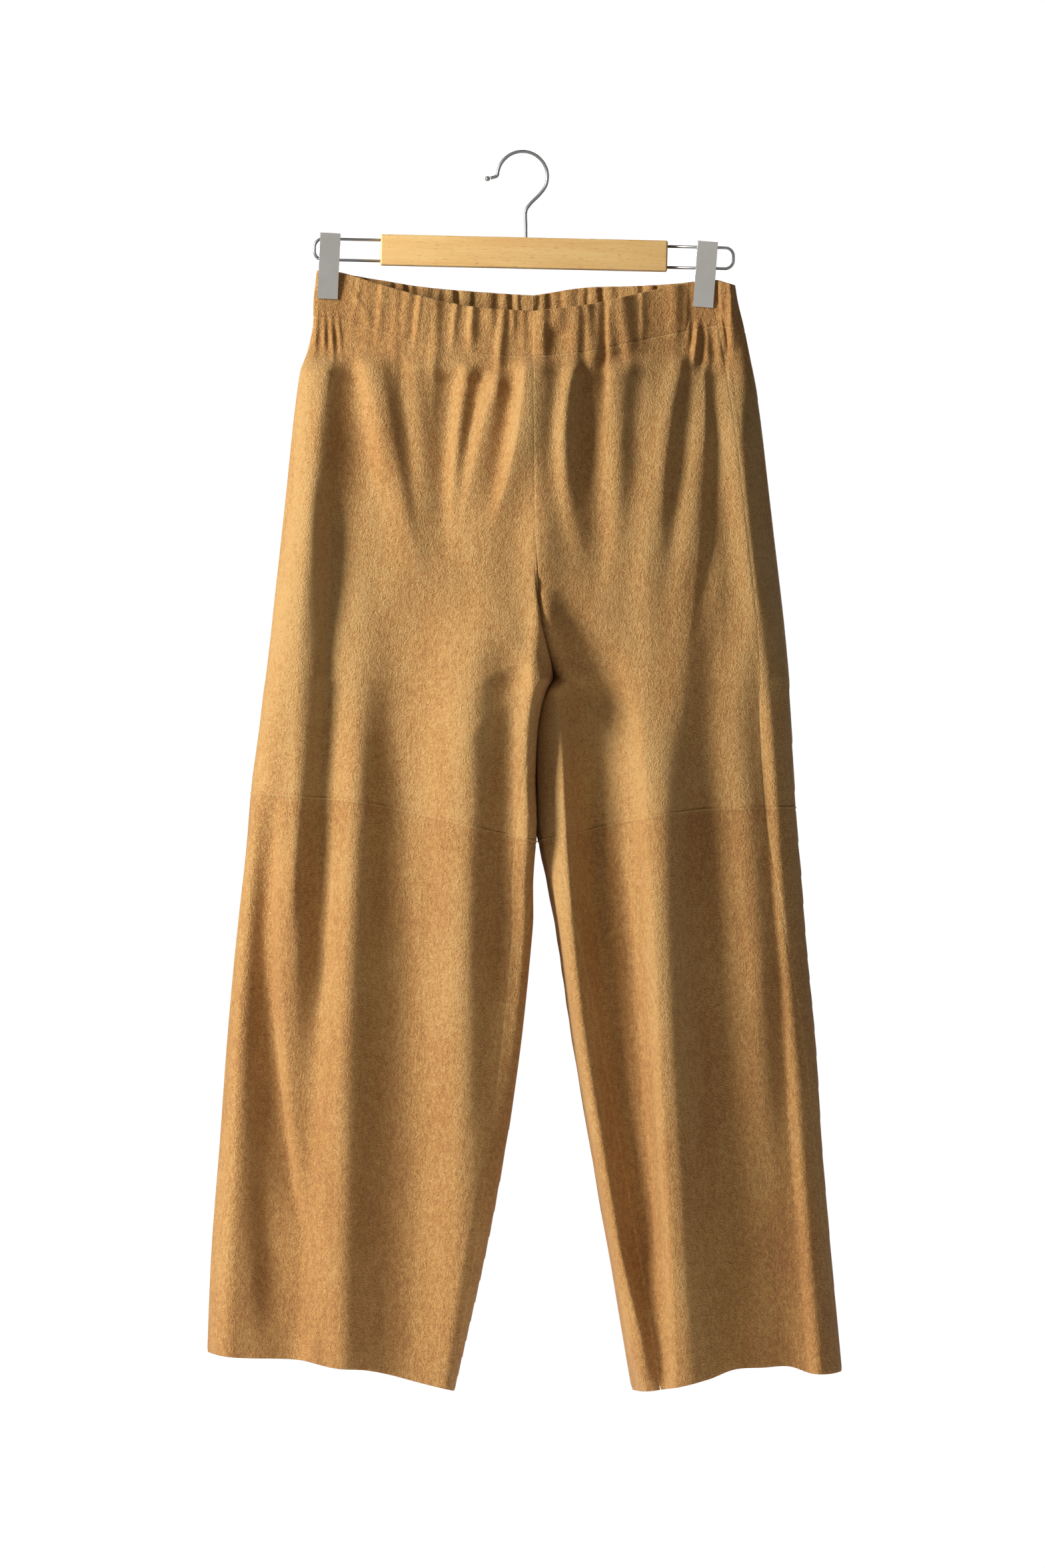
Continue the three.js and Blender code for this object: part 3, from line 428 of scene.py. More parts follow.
def edgeSpaced(count, crowd, tight):
    # 0 to 1 in steps that are finer towards both ends, with one very short step at each
    t = np.linspace(0, 1, count + 1)
    even = t - crowd * np.sin(2 * math.pi * t) / (2 * math.pi)
    return np.concatenate([[0, tight], even[1:-1], [1 - tight, 1]])


def endLap(half, face, end, dropOf):
    lap = np.array([float(end if face == "front" else 1 + end)])
    for _ in range(2):
        drop = dropOf(lap)
        side, inseam = seamAt(half, 1, drop), np.maximum(seamAt(half, 2, drop), 0)
        lap = (inseam, side)[end] if face == "front" else (side, 2 + inseam)[end]
    return lap[0]


def rolledEdge(edge, distance, along=None, seed=0):
    depth = edge["depth"]
    if along is not None:
        depth = depth * (1 + edge["pucker"] * unevenness(along, along * 0, edge["puckerLength"], seed))
    return depth * (1 - smooth(0, edge["width"], distance))


def panelPoints(half, face, lines, rowCounts, columnCount):
    # rows of points from the piece's upper line to its lower one, with the run of the cloth
    crowd, tight = sheetSteps["crowd"], sheetSteps["tight"]
    acrossShares = edgeSpaced(columnCount, crowd, tight)
    laps, drops = [], []
    for band, count in enumerate(rowCounts):
        shares = edgeSpaced(count, 0, tight)[0 if band == 0 else 1:]
        for t in shares:
            dropOf = lambda lap: mix(lineDrop(half, lines[band], lap),
                                     lineDrop(half, lines[band + 1], lap), t)
            ends = [endLap(half, face, end, dropOf) for end in (0, 1)]
            lap = mix(ends[0], ends[1], acrossShares)
            laps.append(lap)
            drops.append(dropOf(lap))
    laps, drops = np.array(laps), np.array(drops)
    trim = pants["seamGap"] / 2
    drops[0] += trim
    drops[-1] -= trim
    place = plan(half, laps, drops)
    run, out = planFrame(half, laps, drops)
    lift = rise(half, laps, drops)
    sideways = pants["foldSway"] * lift
    base = np.stack([place["x"] + out[0] * sideways, place["y"] + out[1] * lift, -drops], -1)

    # distances along the cloth from its four edges
    stepsAcross = np.linalg.norm(np.diff(base, axis=1), axis=2)
    fromStart = np.concatenate([np.zeros((len(base), 1)), np.cumsum(stepsAcross, 1)], 1)
    fromEnd = fromStart[:, -1:] - fromStart
    stepsDown = np.linalg.norm(np.diff(base, axis=0), axis=2)
    fromTop = np.concatenate([np.zeros((1, base.shape[1])), np.cumsum(stepsDown, 0)], 0)
    fromFoot = fromTop[-1:] - fromTop

    roll = -rolledEdge(seamRoll, fromStart, fromTop, 8) - rolledEdge(seamRoll, fromEnd, fromTop, 8)
    if "casing" in lines:
        roll -= rolledEdge(casingRoll, fromFoot if lines[0] == "waist" else fromTop, fromStart, 9)
    if lines[-1] == "thigh":
        roll -= rolledEdge(thighRoll, fromFoot)
    if lines[0] == "thigh":
        roll += thighLap["height"] * (1 - smooth(thighLap["near"], thighLap["far"], fromTop))
        fromGroove = (fromTop - thighLap["grooveAt"]) / thighLap["grooveWidth"]
        roll -= thighLap["groove"] * np.exp(-0.5 * fromGroove ** 2)
    if lines[-1] == "hem":
        roll -= rolledEdge(hemRoll, fromFoot)

    aboveHem = edgeAt(half, 3, laps) - drops
    slit = pants["hemSlitWidth"] / 2 * (1 - smooth(0, pants["hemSlitHeight"], aboveHem))
    gap = pants["seamGap"] / 2 + slit
    fade = sheetSteps["slitFade"]
    shift = gap * ((1 - smooth(0, fade, fromStart)) - (1 - smooth(0, fade, fromEnd)))
    points = base.copy()
    points[..., 0] += out[0] * roll + run[0] * shift
    points[..., 1] += out[1] * roll + run[1] * shift
    above = drops <= pants["crotchDrop"]
    centre = sectionAt(half, 2, drops)
    aside = np.maximum(half["hand"] * (points[..., 0] - centre), trim)
    points[..., 0] = np.where(above, centre + half["hand"] * aside, points[..., 0])
    if lines[0] == "waist":
        return foldOver(points, out, fromStart, fromTop, lift)
    return points, fromStart, fromTop, lift


def foldOver(points, out, fromStart, fromTop, lift):
    # the casing turns over at its top and comes down again on the inside
    radius = pants["casingWall"] / 2
    outward = np.stack([out[0], out[1], np.zeros_like(out[0])], -1)
    turnStep = 15
    turns = np.radians(np.arange(180 - turnStep, 0, -turnStep))[:, None, None]
    over = (points[0] + outward[0] * radius * (np.cos(turns) - 1)
            + np.array([0, 0, radius]) * np.sin(turns))
    inside = (points - outward * 2 * radius)[::-1]
    flat = np.zeros((len(turns), 1))
    down = [-math.pi * radius - fromTop[::-1], -radius * turns[:, :, 0] + 0 * fromTop[:1], fromTop]
    across = [fromStart[::-1], fromStart[:1] + flat, fromStart]
    crest = [lift[::-1], lift[:1] + flat, lift]
    return (np.concatenate([inside, over, points]), np.concatenate(across),
            np.concatenate(down), np.concatenate(crest))


def addAttribute(mesh, name, values):
    mesh.attributes.new(name, "FLOAT", "POINT").data.foreach_set("value", values.astype(np.float32))


def meshObject(name, bm, material, smoothFaces=True):
    mesh = bpy.data.meshes.new(name)
    for face in bm.faces:
        face.smooth = smoothFaces
    bm.to_mesh(mesh)
    bm.free()
    mesh.materials.append(material)
    piece = bpy.data.objects.new(name, mesh)
    bpy.context.scene.collection.objects.link(piece)
    return piece


def toneWithPaintedLight(pieceName, across, down, seed):
    # how pale the nap is: each panel its own, darker below the casing and the thigh seam, and
    # paler above the thigh seam and along the edges; the darkening down the lower panels is painted
    # shade of the light falling off towards the hem, and the paler edges are partly rubbed nap and
    # partly a painted highlight along the seam ridges
    top, foot = down.min(), down.max()
    start, change = panelTonesAndFalloffShade[pieceName]
    # the change down the lower pieces is painted shade of the light falling off towards the hem
    tone = start + change * (down - top) / (foot - top)
    cloudy = lambda size: 0.7 + 0.5 * unevenness(across, down, size, seed)
    if pieceName == "upper":
        tone -= 0.12 * (1 - smooth(0, 60, down))
        tone += 0.05 * smooth(foot - 95, foot - 8, down) * cloudy(37)
    if pieceName == "lower":
        tone -= 0.06 * (1 - smooth(4, 90, down)) * cloudy(31)
    # the edges: partly rubbed nap, partly a painted highlight along the seam ridges
    edge = np.minimum(np.minimum(across, across.max(1, keepdims=True) - across),
                      np.minimum(down - top, foot - down))
    tone += edgeWearAndHighlight["rise"] * (1 - smooth(edgeWearAndHighlight["near"], edgeWearAndHighlight["far"], edge))
    return tone + 0.05 * unevenness(across, down, 90, seed + 1)


def clothSheet(name, points, across, down, crest, tone, flip, wall, material):
    rows, columns = points.shape[:2]
    bm = bmesh.new()
    bmesh.ops.create_grid(bm, x_segments=columns - 1, y_segments=rows - 1, size=1)
    if flip:
        bmesh.ops.reverse_faces(bm, faces=bm.faces[:])
    flat = np.array([vert.co[:2] for vert in bm.verts])
    column = np.rint((flat[:, 0] + 1) / 2 * (columns - 1)).astype(int)
    row = np.rint((1 - flat[:, 1]) / 2 * (rows - 1)).astype(int)
    piece = meshObject(name, bm, material)
    mesh = piece.data
    place = points[row, column] * millimetre
    mesh.vertices.foreach_set("co", place.ravel())
    addAttribute(mesh, "crest", crest[row, column] * millimetre)
    addAttribute(mesh, "tone", tone[row, column])
    corner = np.empty(len(mesh.loops), int)
    mesh.loops.foreach_get("vertex_index", corner)
    chart = np.stack([across[row, column], -down[row, column]], -1)[corner] * millimetre
    mesh.uv_layers.new(name="cloth").data.foreach_set("uv", chart.ravel())
    solidify = piece.modifiers.new("thickness", "SOLIDIFY")
    solidify.thickness = wall * millimetre
    solidify.offset = -1
    solidify.use_rim = True
    mesh.update()
    return piece


# Shader nodes

class Flow:
    # one output socket, so that values can be added, multiplied and so on
    def __init__(self, maker, socket):
        self.maker = maker
        self.socket = socket

    def math(self, operation, *others):
        inputs = {i: value for i, value in enumerate((self, *others))}
        return self.maker.node("ShaderNodeMath", dict(operation=operation), inputs)

    def swapped(self, operation, other):
        return self.maker.node("ShaderNodeMath", dict(operation=operation), {0: other, 1: self})

    def __add__(self, other):
        return self.math("ADD", other)

    def __sub__(self, other):
        return self.math("SUBTRACT", other)

    def __mul__(self, other):
        return self.math("MULTIPLY", other)

    def __rsub__(self, other):
        return self.swapped("SUBTRACT", other)

    __radd__ = __add__
    __rmul__ = __mul__

    def between(self, low, high):
        inputs = {"Value": self, "From Min": low, "From Max": high}
        return self.maker.node("ShaderNodeMapRange", dict(interpolation_type="SMOOTHSTEP"), inputs)


class Finish:
    # the nodes of one material
    def __init__(self, name):
        self.material = bpy.data.materials.new(name)
        self.material.use_nodes = True
        self.tree = self.material.node_tree
        self.shader = self.tree.nodes["Principled BSDF"]

    def node(self, kind, settings=None, inputs=None, output=0):
        made = self.tree.nodes.new(kind)
        for key, value in (settings or {}).items():
            if key == "stops":
                while len(made.color_ramp.elements) < len(value):
                    made.color_ramp.elements.new(0.5)
                for element, (position, colour) in zip(made.color_ramp.elements, value):
                    element.position = position
                    element.color = (*colour, 1)
            else:
                setattr(made, key, value)
        self.feed(made, inputs or {})
        return Flow(self, made.outputs[output])

    def feed(self, made, inputs):
        for key, value in inputs.items():
            if isinstance(value, Flow):
                self.tree.links.new(value.socket, made.inputs[key])
            elif isinstance(value, tuple) and len(value) == 3 and made.inputs[key].type == "RGBA":
                made.inputs[key].default_value = (*value, 1)
            else:
                made.inputs[key].default_value = value

    def place(self, scale=(1, 1, 1), turn=(0, 0, 0)):
        spot = self.node("ShaderNodeTexCoord", output="Object")
        return self.node("ShaderNodeMapping", inputs={"Vector": spot, "Scale": scale, "Rotation": turn})

    def noise(self, where, scale, detail=2, roughness=0.5, distortion=0):
        inputs = {"Vector": where, "Scale": scale, "Detail": detail, "Roughness": roughness,
                  "Distortion": distortion}
        return self.node("ShaderNodeTexNoise", inputs=inputs)

    def blend(self, share, first, second):
        inputs = {"Factor": share, 6: first, 7: second}
        return self.node("ShaderNodeMix", dict(data_type="RGBA"), inputs, output=2)

    def bump(self, height, distance, strength):
        inputs = {"Height": height, "Distance": distance, "Strength": strength}
        return self.node("ShaderNodeBump", inputs=inputs)

    def ramp(self, value, *stops):
        return self.node("ShaderNodeValToRGB", dict(stops=stops), {"Fac": value}, output="Color")

    def attribute(self, name):
        return self.node("ShaderNodeAttribute", dict(attribute_name=name), output="Fac")


def makeSuede(name):
    look = dict(
        deep=(0.36, 0.152, 0.040), body=(0.51, 0.248, 0.066), pale=(0.62, 0.36, 0.122),
        patches=9, strokes=42, nap=330, grain=760, fibre=1500, pileHeight=0.0014,
        roughness=0.54, sheen=0.15, sheenRoughness=0.5, sheenTint=(1.0, 0.84, 0.64),
    )
    suede = Finish(name)
    where = suede.place()
    patches = suede.noise(where, look["patches"], 3, 0.55).between(0.3, 0.7)
    brushed = suede.place(scale=(1, 1, 0.22))
    strokes = suede.noise(brushed, look["strokes"], 4, 0.65, 0.4).between(0.3, 0.7)
    nap = suede.noise(suede.place(scale=(1, 1, 0.6)), look["nap"], 4, 0.75)
    grain = suede.noise(where, look["grain"], 2, 0.6)
    fibre = suede.noise(where, look["fibre"], 2, 0.6)
    # paler on raised fold crests: partly rubbed nap, partly a painted highlight on the lit folds
    wearAndHighlight = suede.attribute("crest").between(0.001, 0.012)
    tone = (patches * 0.2 + strokes * 0.2 + nap.between(0.3, 0.7) * 0.5
            + grain.between(0.25, 0.75) * 0.45 + fibre.between(0.25, 0.75) * 0.2
            + wearAndHighlight * 0.12 + suede.attribute("tone") - 0.23)
    colour = suede.ramp(tone, (0.1, look["deep"]), (0.5, look["body"]), (0.9, look["pale"]))
    pile = suede.bump(fibre * 0.4 + grain * 1.2 + nap * 1.1, look["pileHeight"], 0.9)
    suede.feed(suede.shader, {
        "Base Color": colour, "Roughness": nap * 0.12 + look["roughness"], "Normal": pile,
        "Sheen Weight": look["sheen"], "Sheen Roughness": look["sheenRoughness"],
        "Sheen Tint": look["sheenTint"], "Specular IOR Level": 0.3,
    })
    return suede.material


def makeThread():
    look = dict(dark=(0.24, 0.12, 0.04), light=(0.36, 0.2, 0.075), ply=2200, roughness=0.75)
    thread = Finish("stitchThread")
    ply = thread.noise(thread.place(), look["ply"])
    colour = thread.blend(ply.between(0.35, 0.65), look["dark"], look["light"])
    thread.feed(thread.shader, {"Base Color": colour, "Roughness": look["roughness"],
                                "Normal": thread.bump(ply, 0.0003, 0.5)})
    return thread.material


def makeBeech():
    look = dict(
        deep=(0.86, 0.49, 0.165), body=(0.94, 0.60, 0.225), pale=(0.97, 0.67, 0.29),
        pore=(0.42, 0.22, 0.085), roughness=0.32, varnish=0.2, varnishRoughness=0.25,
        figure=(1, 14, 14), pores=(150, 1500, 1500), lines=(30, 700, 700),
    )
    beech = Finish("varnishedBeech")
    where = beech.place(turn=(0, math.radians(-hangerBar["tilt"]), 0))
    alongBar = {name: beech.node("ShaderNodeMapping", inputs={"Vector": where, "Scale": look[name]})
                for name in ("figure", "pores", "lines")}
    figure = beech.noise(alongBar["figure"], 9, 4, 0.6, 0.4)
    pores = beech.noise(alongBar["pores"], 1, 1, 0.4).between(0.62, 0.72)
    lines = beech.noise(alongBar["lines"], 1, 2, 0.5)
    ground = beech.ramp(figure * 0.65 + lines * 0.35,
                        (0.3, look["deep"]), (0.55, look["body"]), (0.75, look["pale"]))
    beech.feed(beech.shader, {
        "Base Color": beech.blend(pores * 0.5, ground, look["pore"]),
        "Roughness": lines * 0.14 + look["roughness"],
        "Normal": beech.bump(lines - pores, 0.0002, 0.25),
        "Coat Weight": look["varnish"], "Coat Roughness": look["varnishRoughness"]})
    return beech.material


def makeSteel(name, base, roughness, wear):
    steel = Finish(name)
    where = steel.place()
    drawn = steel.noise(where, 900, 2, 0.6)
    smudges = steel.noise(where, 60, 3, 0.6)
    darker = tuple((1 - wear) * value for value in base)
    steel.feed(steel.shader, {
        "Base Color": steel.blend(smudges.between(0.35, 0.65), darker, base), "Metallic": 1.0,
        "Roughness": smudges * wear + drawn * 0.02 + roughness,
        "Normal": steel.bump(drawn, 0.00003, 0.1)})
    return steel.material


def makeFloor():
    ground = Finish("paleFloor")
    grain = ground.noise(ground.place(), 40)
    ground.feed(ground.shader, {
        "Base Color": ground.blend(grain, (0.84, 0.84, 0.84), (0.88, 0.88, 0.88)),
        "Roughness": 0.9, "Emission Color": (1.0, 1.0, 1.0), "Emission Strength": 0.35})
    return ground.material


# Sewing

stitches = dict(
    casing=dict(pitch=3.4, length=2.3, width=0.42, fromEdge=-1.4),
    lower=dict(pitch=3.2, length=2.1, width=0.38, fromEdge=2.4),
)


def stitchRow(name, points, down, face, material, pitch, length, width, fromEdge):
    # small thread ovals along a sheet, at a distance from its upper edge or, below nought, from
    # its lower one
    edge = down[0] if fromEdge > 0 else down[-1]
    row = np.argmin(np.abs(down - edge - fromEdge)[:, down.shape[1] // 2])
    line, above = points[row], points[row - 1]
    steps = np.linalg.norm(np.diff(line, axis=0), axis=1)
    run = np.concatenate([[0], np.cumsum(steps)])
    at = np.arange(pitch * 0.6, run[-1] - pitch * 0.4, pitch)
    onLine = lambda where, values: np.stack(
        [np.interp(where, run, values[:, axis]) for axis in range(3)], -1)
    spots, ahead, upward = onLine(at, line), onLine(at + 0.5, line), onLine(at, above)
    facing = -1 if face == "front" else 1
    bm = bmesh.new()
    for spot, fore, high in zip(spots, ahead, upward):
        along = Vector(fore - spot).normalized()
        out = along.cross(Vector(high - spot)).normalized()
        if out.y * facing < 0:
            out.negate()
        across = out.cross(along)
        turn = Matrix((along, across, out)).transposed().to_4x4()
        size = Matrix.Diagonal((length / 2, width / 2, width * 0.4, 1))
        place = Matrix.Translation(Vector(spot) * millimetre)
        bmesh.ops.create_icosphere(bm, subdivisions=1, radius=1,
                                   matrix=place @ turn @ Matrix.Scale(millimetre, 4) @ size)
    return meshObject(name, bm, material)


def cutOf(points, across, down):
    # width and length of the sheet laid flat, and its area, in metres
    corner = points[:-1, :-1]
    cells = np.linalg.norm(np.cross(points[1:, :-1] - corner, points[:-1, 1:] - corner), axis=2)
    size = (across.max() * millimetre, (down.max() - down.min()) * millimetre)
    return size, cells.sum() * millimetre ** 2


# Hanger

hangerBar = dict(length=241, height=26, depth=12, round=1.6, x=1.3, drop=84.1, tilt=1.28)
hangerHook = dict(wire=2.7, loopRadius=21, stemX=2.8, straight=10, stemTop=-49, ball=4.2,
                  bend=[(6.5, -42.8), (14.6, -34.6)], turn=(-24, 176, 16), kink=(-22.4, -19.8),
                  tip=(-27, -21), ballPlace=(-29.3, -21.5))
wireLoop = dict(wire=2.4, reach=176, upper=8.3, lower=-9.3, corner=7)
sprungClip = dict(width=17, height=55.4, plate=1.1, top=13, spread=5, rim=0.8, recess=0.2, edge=0.12,
                  clothRoom=0.3, jawRoom=0.05, sliderInset=2.5, sliderShort=1.5, sliderEdge=1)


def hangerTurn():
    tilt = Matrix.Rotation(math.radians(hangerBar["tilt"]), 4, "Y")
    place = Vector((hangerBar["x"], 0, -hangerBar["drop"])) * millimetre
    return Matrix.Translation(place) @ tilt


def tubeAlong(name, points, diameter, material, sides=12):
    # a wire through points in millimetres, made a mesh with closed ends
    curve = bpy.data.curves.new(name, "CURVE")
    curve.dimensions = "3D"
    curve.bevel_depth = diameter / 2 * millimetre
    curve.bevel_resolution = sides // 2 - 2
    curve.use_fill_caps = True
    spline = curve.splines.new("POLY")
    spline.points.add(len(points) - 1)
    for target, point in zip(spline.points, points):
        target.co = (*(Vector(point) * millimetre), 1)
    holder = bpy.data.objects.new(name, curve)
    bpy.context.scene.collection.objects.link(holder)
    graph = bpy.context.evaluated_depsgraph_get()
    mesh = bpy.data.meshes.new_from_object(holder.evaluated_get(graph))
    bpy.data.objects.remove(holder)
    bm = bmesh.new()
    bm.from_mesh(mesh)
    bpy.data.meshes.remove(mesh)
    bmesh.ops.remove_doubles(bm, verts=bm.verts[:], dist=1e-6)
    bmesh.ops.recalc_face_normals(bm, faces=bm.faces[:])
    return meshObject(name, bm, material)


def smoothPath(points, steps=10):
    # a curve through all the points, with even steps between each two
    points = np.array(points, float)
    lengths = np.sqrt(np.linalg.norm(np.diff(points, axis=0), axis=1))
    keys = np.concatenate([[0], np.cumsum(lengths)])
    fine = np.interp(np.arange((len(points) - 1) * steps + 1) / steps, np.arange(len(points)), keys)
    return np.stack([curveThrough(keys, points[:, axis], fine) for axis in range(3)], -1)


def hookPath():
    # up the stem, through the bend, round the loop and out to the tip
    radius, stem = hangerHook["loopRadius"], hangerHook["stemX"]
    centre = hangerHook["wire"] / 2 - radius
    barTop = -hangerBar["drop"] + hangerBar["height"] / 2
    first, last, step = hangerHook["turn"]
    onLoop = [(radius * math.cos(math.radians(a)), centre + radius * math.sin(math.radians(a)))
              for a in [*range(first, last, step), last]]
    places = [(stem, barTop - 1), (stem, barTop + hangerHook["straight"]),
              (stem, hangerHook["stemTop"]), *hangerHook["bend"], *onLoop,
              hangerHook["kink"], hangerHook["tip"]]
    return smoothPath([(x, 0, z) for x, z in places])


def wirePath():
    # out along the upper wire, round the two corners and back along the lower one
    reach, corner = wireLoop["reach"], wireLoop["corner"]
    upper, lower = wireLoop["upper"], wireLoop["lower"]
    start = hangerBar["length"] / 2 - 1
    path = [(start, upper), (reach - corner, upper)]
    path += [(reach - corner + corner * math.sin(a), upper - corner + corner * math.cos(a))
             for a in np.radians(np.arange(10, 91, 10))]
    path += [(reach - corner + corner * math.cos(a), lower + corner - corner * math.sin(a))
             for a in np.radians(np.arange(0, 91, 10))]
    return [*path, (start, lower)]


def roundedBlock(name, size, edge, matrix, material, segments):
    bm = bmesh.new()
    bmesh.ops.create_cube(bm, size=1)
    bmesh.ops.scale(bm, vec=Vector(size) * millimetre, verts=bm.verts[:])
    bmesh.ops.bevel(bm, geom=bm.edges[:], offset=edge * millimetre, segments=segments,
                    profile=0.5, affect="EDGES", material=-1)
    bmesh.ops.transform(bm, matrix=matrix, verts=bm.verts[:])
    return meshObject(name, bm, material)


def clipPlate(name, size, outward, matrix, material):
    # a pressed plate: its outer face is set back a little inside a bright rim
    bm = bmesh.new()
    bmesh.ops.create_cube(bm, size=1)
    bmesh.ops.scale(bm, vec=Vector(size) * millimetre, verts=bm.verts[:])
    face = next(face for face in bm.faces if face.normal.y * outward > 0.5)
    bmesh.ops.inset_individual(bm, faces=[face], thickness=sprungClip["rim"] * millimetre,
                               depth=-sprungClip["recess"] * millimetre)
    bmesh.ops.bevel(bm, geom=bm.edges[:], offset=sprungClip["edge"] * millimetre, segments=3,
                    profile=0.5, affect="EDGES", material=-1)
    bmesh.ops.transform(bm, matrix=matrix, verts=bm.verts[:])
    return meshObject(name, bm, material)


def settle(piece, slot, *nodes):
    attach(piece, "root")
    if nodes:
        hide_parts(*nodes)
    return piece


suede = makeSuede("camelSuede")
thread = makeThread()
beech = makeBeech()
wireSteel = makeSteel("wireSteel", (0.27, 0.265, 0.26), 0.33, 0.1)
plateSteel = makeSteel("platedSteel", (0.60, 0.585, 0.555), 0.09, 0.05)
print("materials made")

cloth, hung = [], []
for halfName, half in halves.items():
    for face in ("front", "back"):
        for pieceName, shape in clothPieces.items():
            node = f"{pieceName}_{face}_{halfName}"
            points, across, down, crest = panelPoints(
                half, face, shape["lines"], shape["rows"], shape["columns"][face])
            wall = pants["casingLayer" if pieceName == "casing" else "wall"]
            tone = toneWithPaintedLight(pieceName, across, down, 11 + 2 * len(cloth))
            piece = clothSheet("suede_" + node, points, across, down, crest, tone,
                               half["hand"] < 0, wall, suede)
            settle(piece, "suede", node)
            cloth.append(piece)
            sewn = []
            if pieceName in stitches:
                sewn.append(settle(stitchRow("stitches_" + node, points, down, face, thread,
                                             **stitches[pieceName]), "suede"))
            size, area = cutOf(points, across, down)
            held = [f"clip_plate_{face}_{halfName}"] if pieceName == "casing" else [cloth[-2]]
            hung.append((piece, size, area, held, sewn))
print("cloth made")

barSeat = hangerTurn()
settle(roundedBlock("beech_bar", (hangerBar["length"], hangerBar["depth"], hangerBar["height"]),
                    hangerBar["round"], barSeat, beech, 6), "beech", "hanger_bar")

settle(tubeAlong("hook_wire", hookPath(), hangerHook["wire"], wireSteel, 16), "steel_wire", "hook")
bm = bmesh.new()
ballX, ballZ = hangerHook["ballPlace"]
ballPlace = Matrix.Translation(Vector((ballX, 0, ballZ)) * millimetre)
bmesh.ops.create_uvsphere(bm, u_segments=24, v_segments=16,
                          radius=hangerHook["ball"] / 2 * millimetre, matrix=ballPlace)
settle(meshObject("hook_tip", bm, wireSteel), "steel_wire", "hook_ball")

for halfName, half in halves.items():
    placed = [barSeat @ (Vector((half["hand"] * x, 0, z)) * millimetre) / millimetre
              for x, z in wirePath()]
    settle(tubeAlong("loop_wire_" + halfName, placed, wireLoop["wire"], wireSteel),
           "steel_wire", "wire_loop_" + halfName)

    swing = Matrix.Rotation(math.radians(half["clipLean"] - hangerBar["tilt"]), 4, "Y")
    shift = Matrix.Translation(Vector((half["clipX"] - hangerBar["x"], 0, 0)) * millimetre)
    clipTurn = barSeat @ shift @ swing
    slope = math.atan2(sprungClip["spread"], sprungClip["height"])
    grip = pants["pinchedDepth"] + sprungClip["clothRoom"]
    middle = sprungClip["top"] - sprungClip["height"] / 2
    for label, face in (("front", -1), ("back", 1)):
        away = face * (grip + sprungClip["spread"] / 2 + sprungClip["plate"] / 2
                       + sprungClip["jawRoom"])
        seat = (Matrix.Translation(Vector((0, away, middle)) * millimetre)
                @ Matrix.Rotation(-face * slope, 4, "X"))
        size = (sprungClip["width"], sprungClip["plate"], sprungClip["height"])
        settle(clipPlate(f"clip_plate_{label}_{halfName}", size, face, clipTurn @ seat, plateSteel),
               "clip_plate", f"clip_{halfName}_{label}_jaw")
    sliderTop = wireLoop["upper"] - sprungClip["sliderShort"]
    sliderFoot = wireLoop["lower"] + sprungClip["sliderShort"]
    clipFoot = sprungClip["top"] - sprungClip["height"]
    upClip = (sliderFoot - clipFoot) / sprungClip["height"]
    halfDepth = grip + upClip * sprungClip["spread"] - sprungClip["clothRoom"]
    size = (sprungClip["width"] - 2 * sprungClip["sliderInset"], 2 * halfDepth,
            sliderTop - sliderFoot)
    seat = Matrix.Translation(Vector((0, 0, (sliderTop + sliderFoot) / 2)) * millimetre)
    settle(roundedBlock("clip_slider_" + halfName, size, sprungClip["sliderEdge"], clipTurn @ seat,
                        wireSteel, 3), "steel_wire", f"clip_{halfName}_slider")
print("hanger made")

# Studio

studio = dict(distance=7.0, frameHeight=1.317, centreDrop=0.53, floor=-1.36, floorRadius=1.15,
              litMiddle=(0, 0, -0.55))


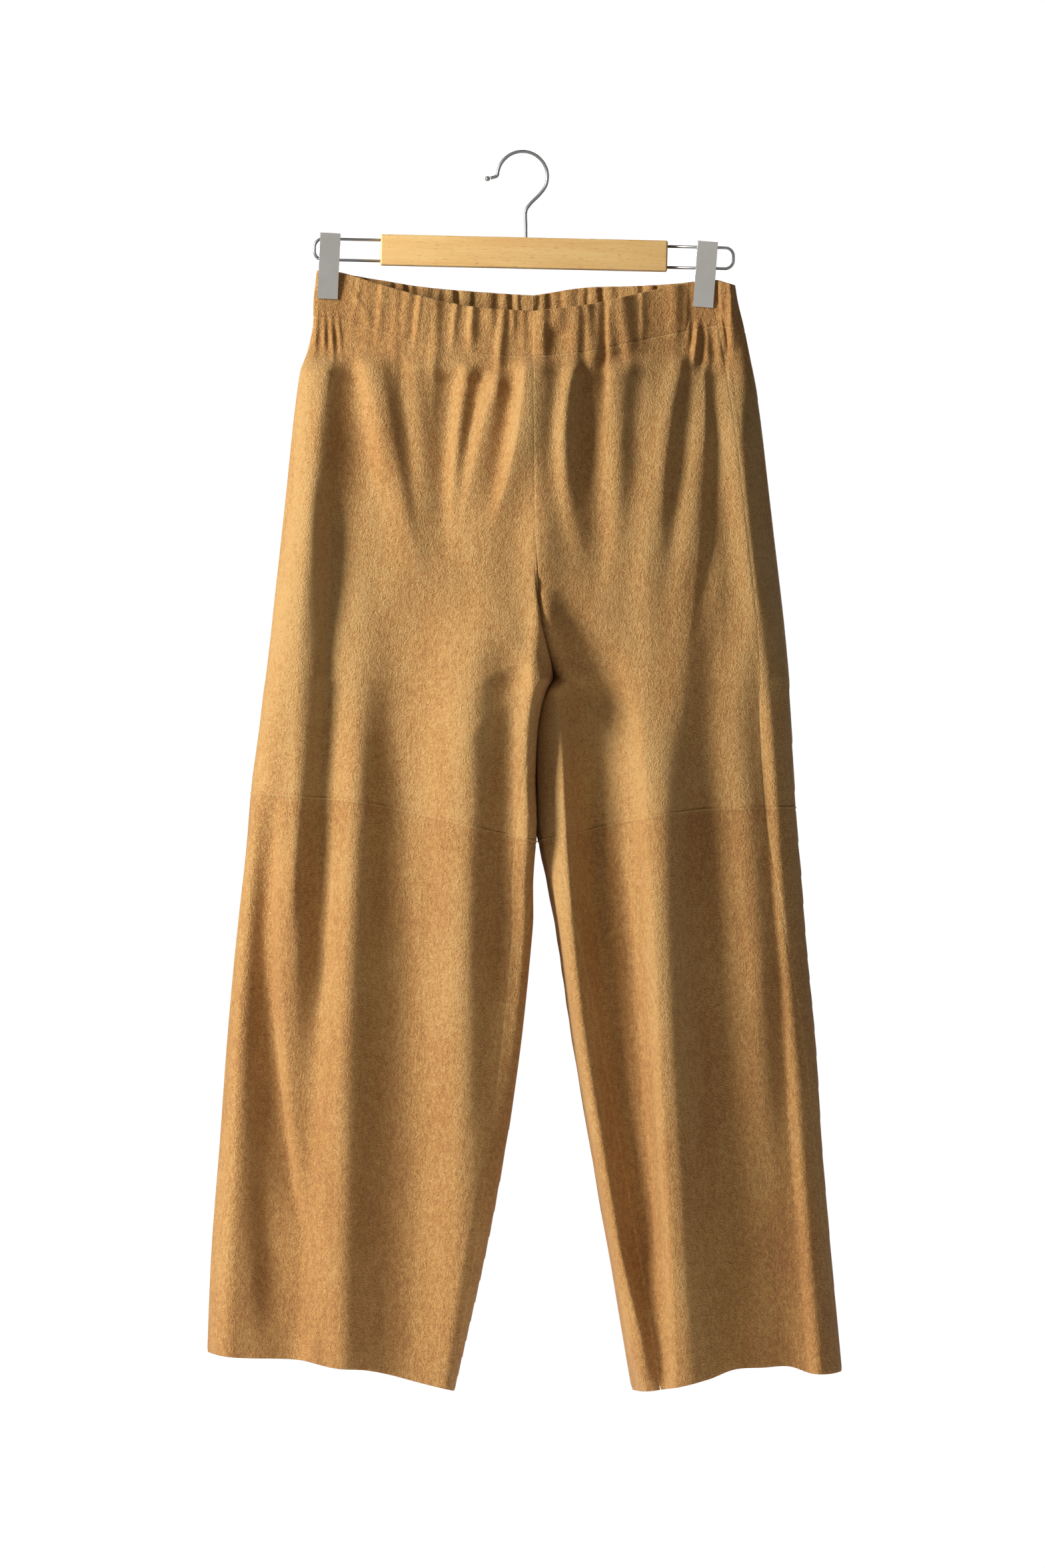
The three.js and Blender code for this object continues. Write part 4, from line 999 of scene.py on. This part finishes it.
def softbox(name, place, size, watts, mirrored=True):
    # a rectangular light aimed at the middle of the pants
    light = bpy.data.lights.new(name, "AREA")
    light.shape = "RECTANGLE"
    light.size, light.size_y = size
    light.energy = watts
    lamp = bpy.data.objects.new(name, light)
    bpy.context.scene.collection.objects.link(lamp)
    lamp.location = place
    towards = Vector(studio["litMiddle"]) - Vector(place)
    lamp.rotation_euler = towards.to_track_quat("-Z", "Y").to_euler()
    lamp.visible_glossy = mirrored


softbox("keyLight", (-2.52, -1.15, 0.46), (0.7, 1.1), 130)
softbox("frontFill", (0.3, -3.6, 0.2), (1.6, 1.6), 4.5, mirrored=False)
softbox("backLight", (0.4, 3.2, 0.6), (1.6, 1.6), 60)

# What the cloth is lit by, what shiny pieces mirror in front and behind, and the backdrop itself.
worldTones = dict(fill=(0.09, 0.09, 0.094), front=(0.64, 0.63, 0.61), back=(0.22, 0.22, 0.22),
                  backdrop=(1.02, 1.02, 1.02))
world = bpy.data.worlds.new("studioWorld")
bpy.context.scene.world = world
world.use_nodes = True


class Surround(Finish):
    # the same node helpers, for the world
    def __init__(self, tree):
        self.tree = tree


surround = Surround(world.node_tree)
rays = {name: surround.node("ShaderNodeLightPath", output=name)
        for name in ("Is Glossy Ray", "Is Camera Ray")}
direction = surround.node("ShaderNodeTexCoord", output="Generated")
depthwise = surround.node("ShaderNodeSeparateXYZ", inputs={"Vector": direction}, output="Y")
mirrored = surround.blend(depthwise.between(-0.5, 0.35), worldTones["front"], worldTones["back"])
lit = surround.blend(rays["Is Glossy Ray"], worldTones["fill"], mirrored)
surround.feed(world.node_tree.nodes["Background"], {
    "Color": surround.blend(rays["Is Camera Ray"], lit, worldTones["backdrop"])})

bm = bmesh.new()
bmesh.ops.create_circle(bm, cap_ends=True, segments=96, radius=studio["floorRadius"],
                        matrix=Matrix.Translation((0, 0, studio["floor"])))
floor = meshObject("studioFloor", bm, makeFloor())

bpy.context.scene.view_settings.view_transform = "Standard"
lens = bpy.data.cameras.new("studioCamera")
camera = bpy.data.objects.new("studioCamera", lens)
bpy.context.scene.collection.objects.link(camera)
camera.location = (0, -studio["distance"], -studio["centreDrop"])
camera.rotation_euler = (math.pi / 2, 0, 0)
lens.lens = 36 * studio["distance"] / studio["frameHeight"]
lens.clip_end = 50
bpy.context.scene.camera = camera
print("studio made")

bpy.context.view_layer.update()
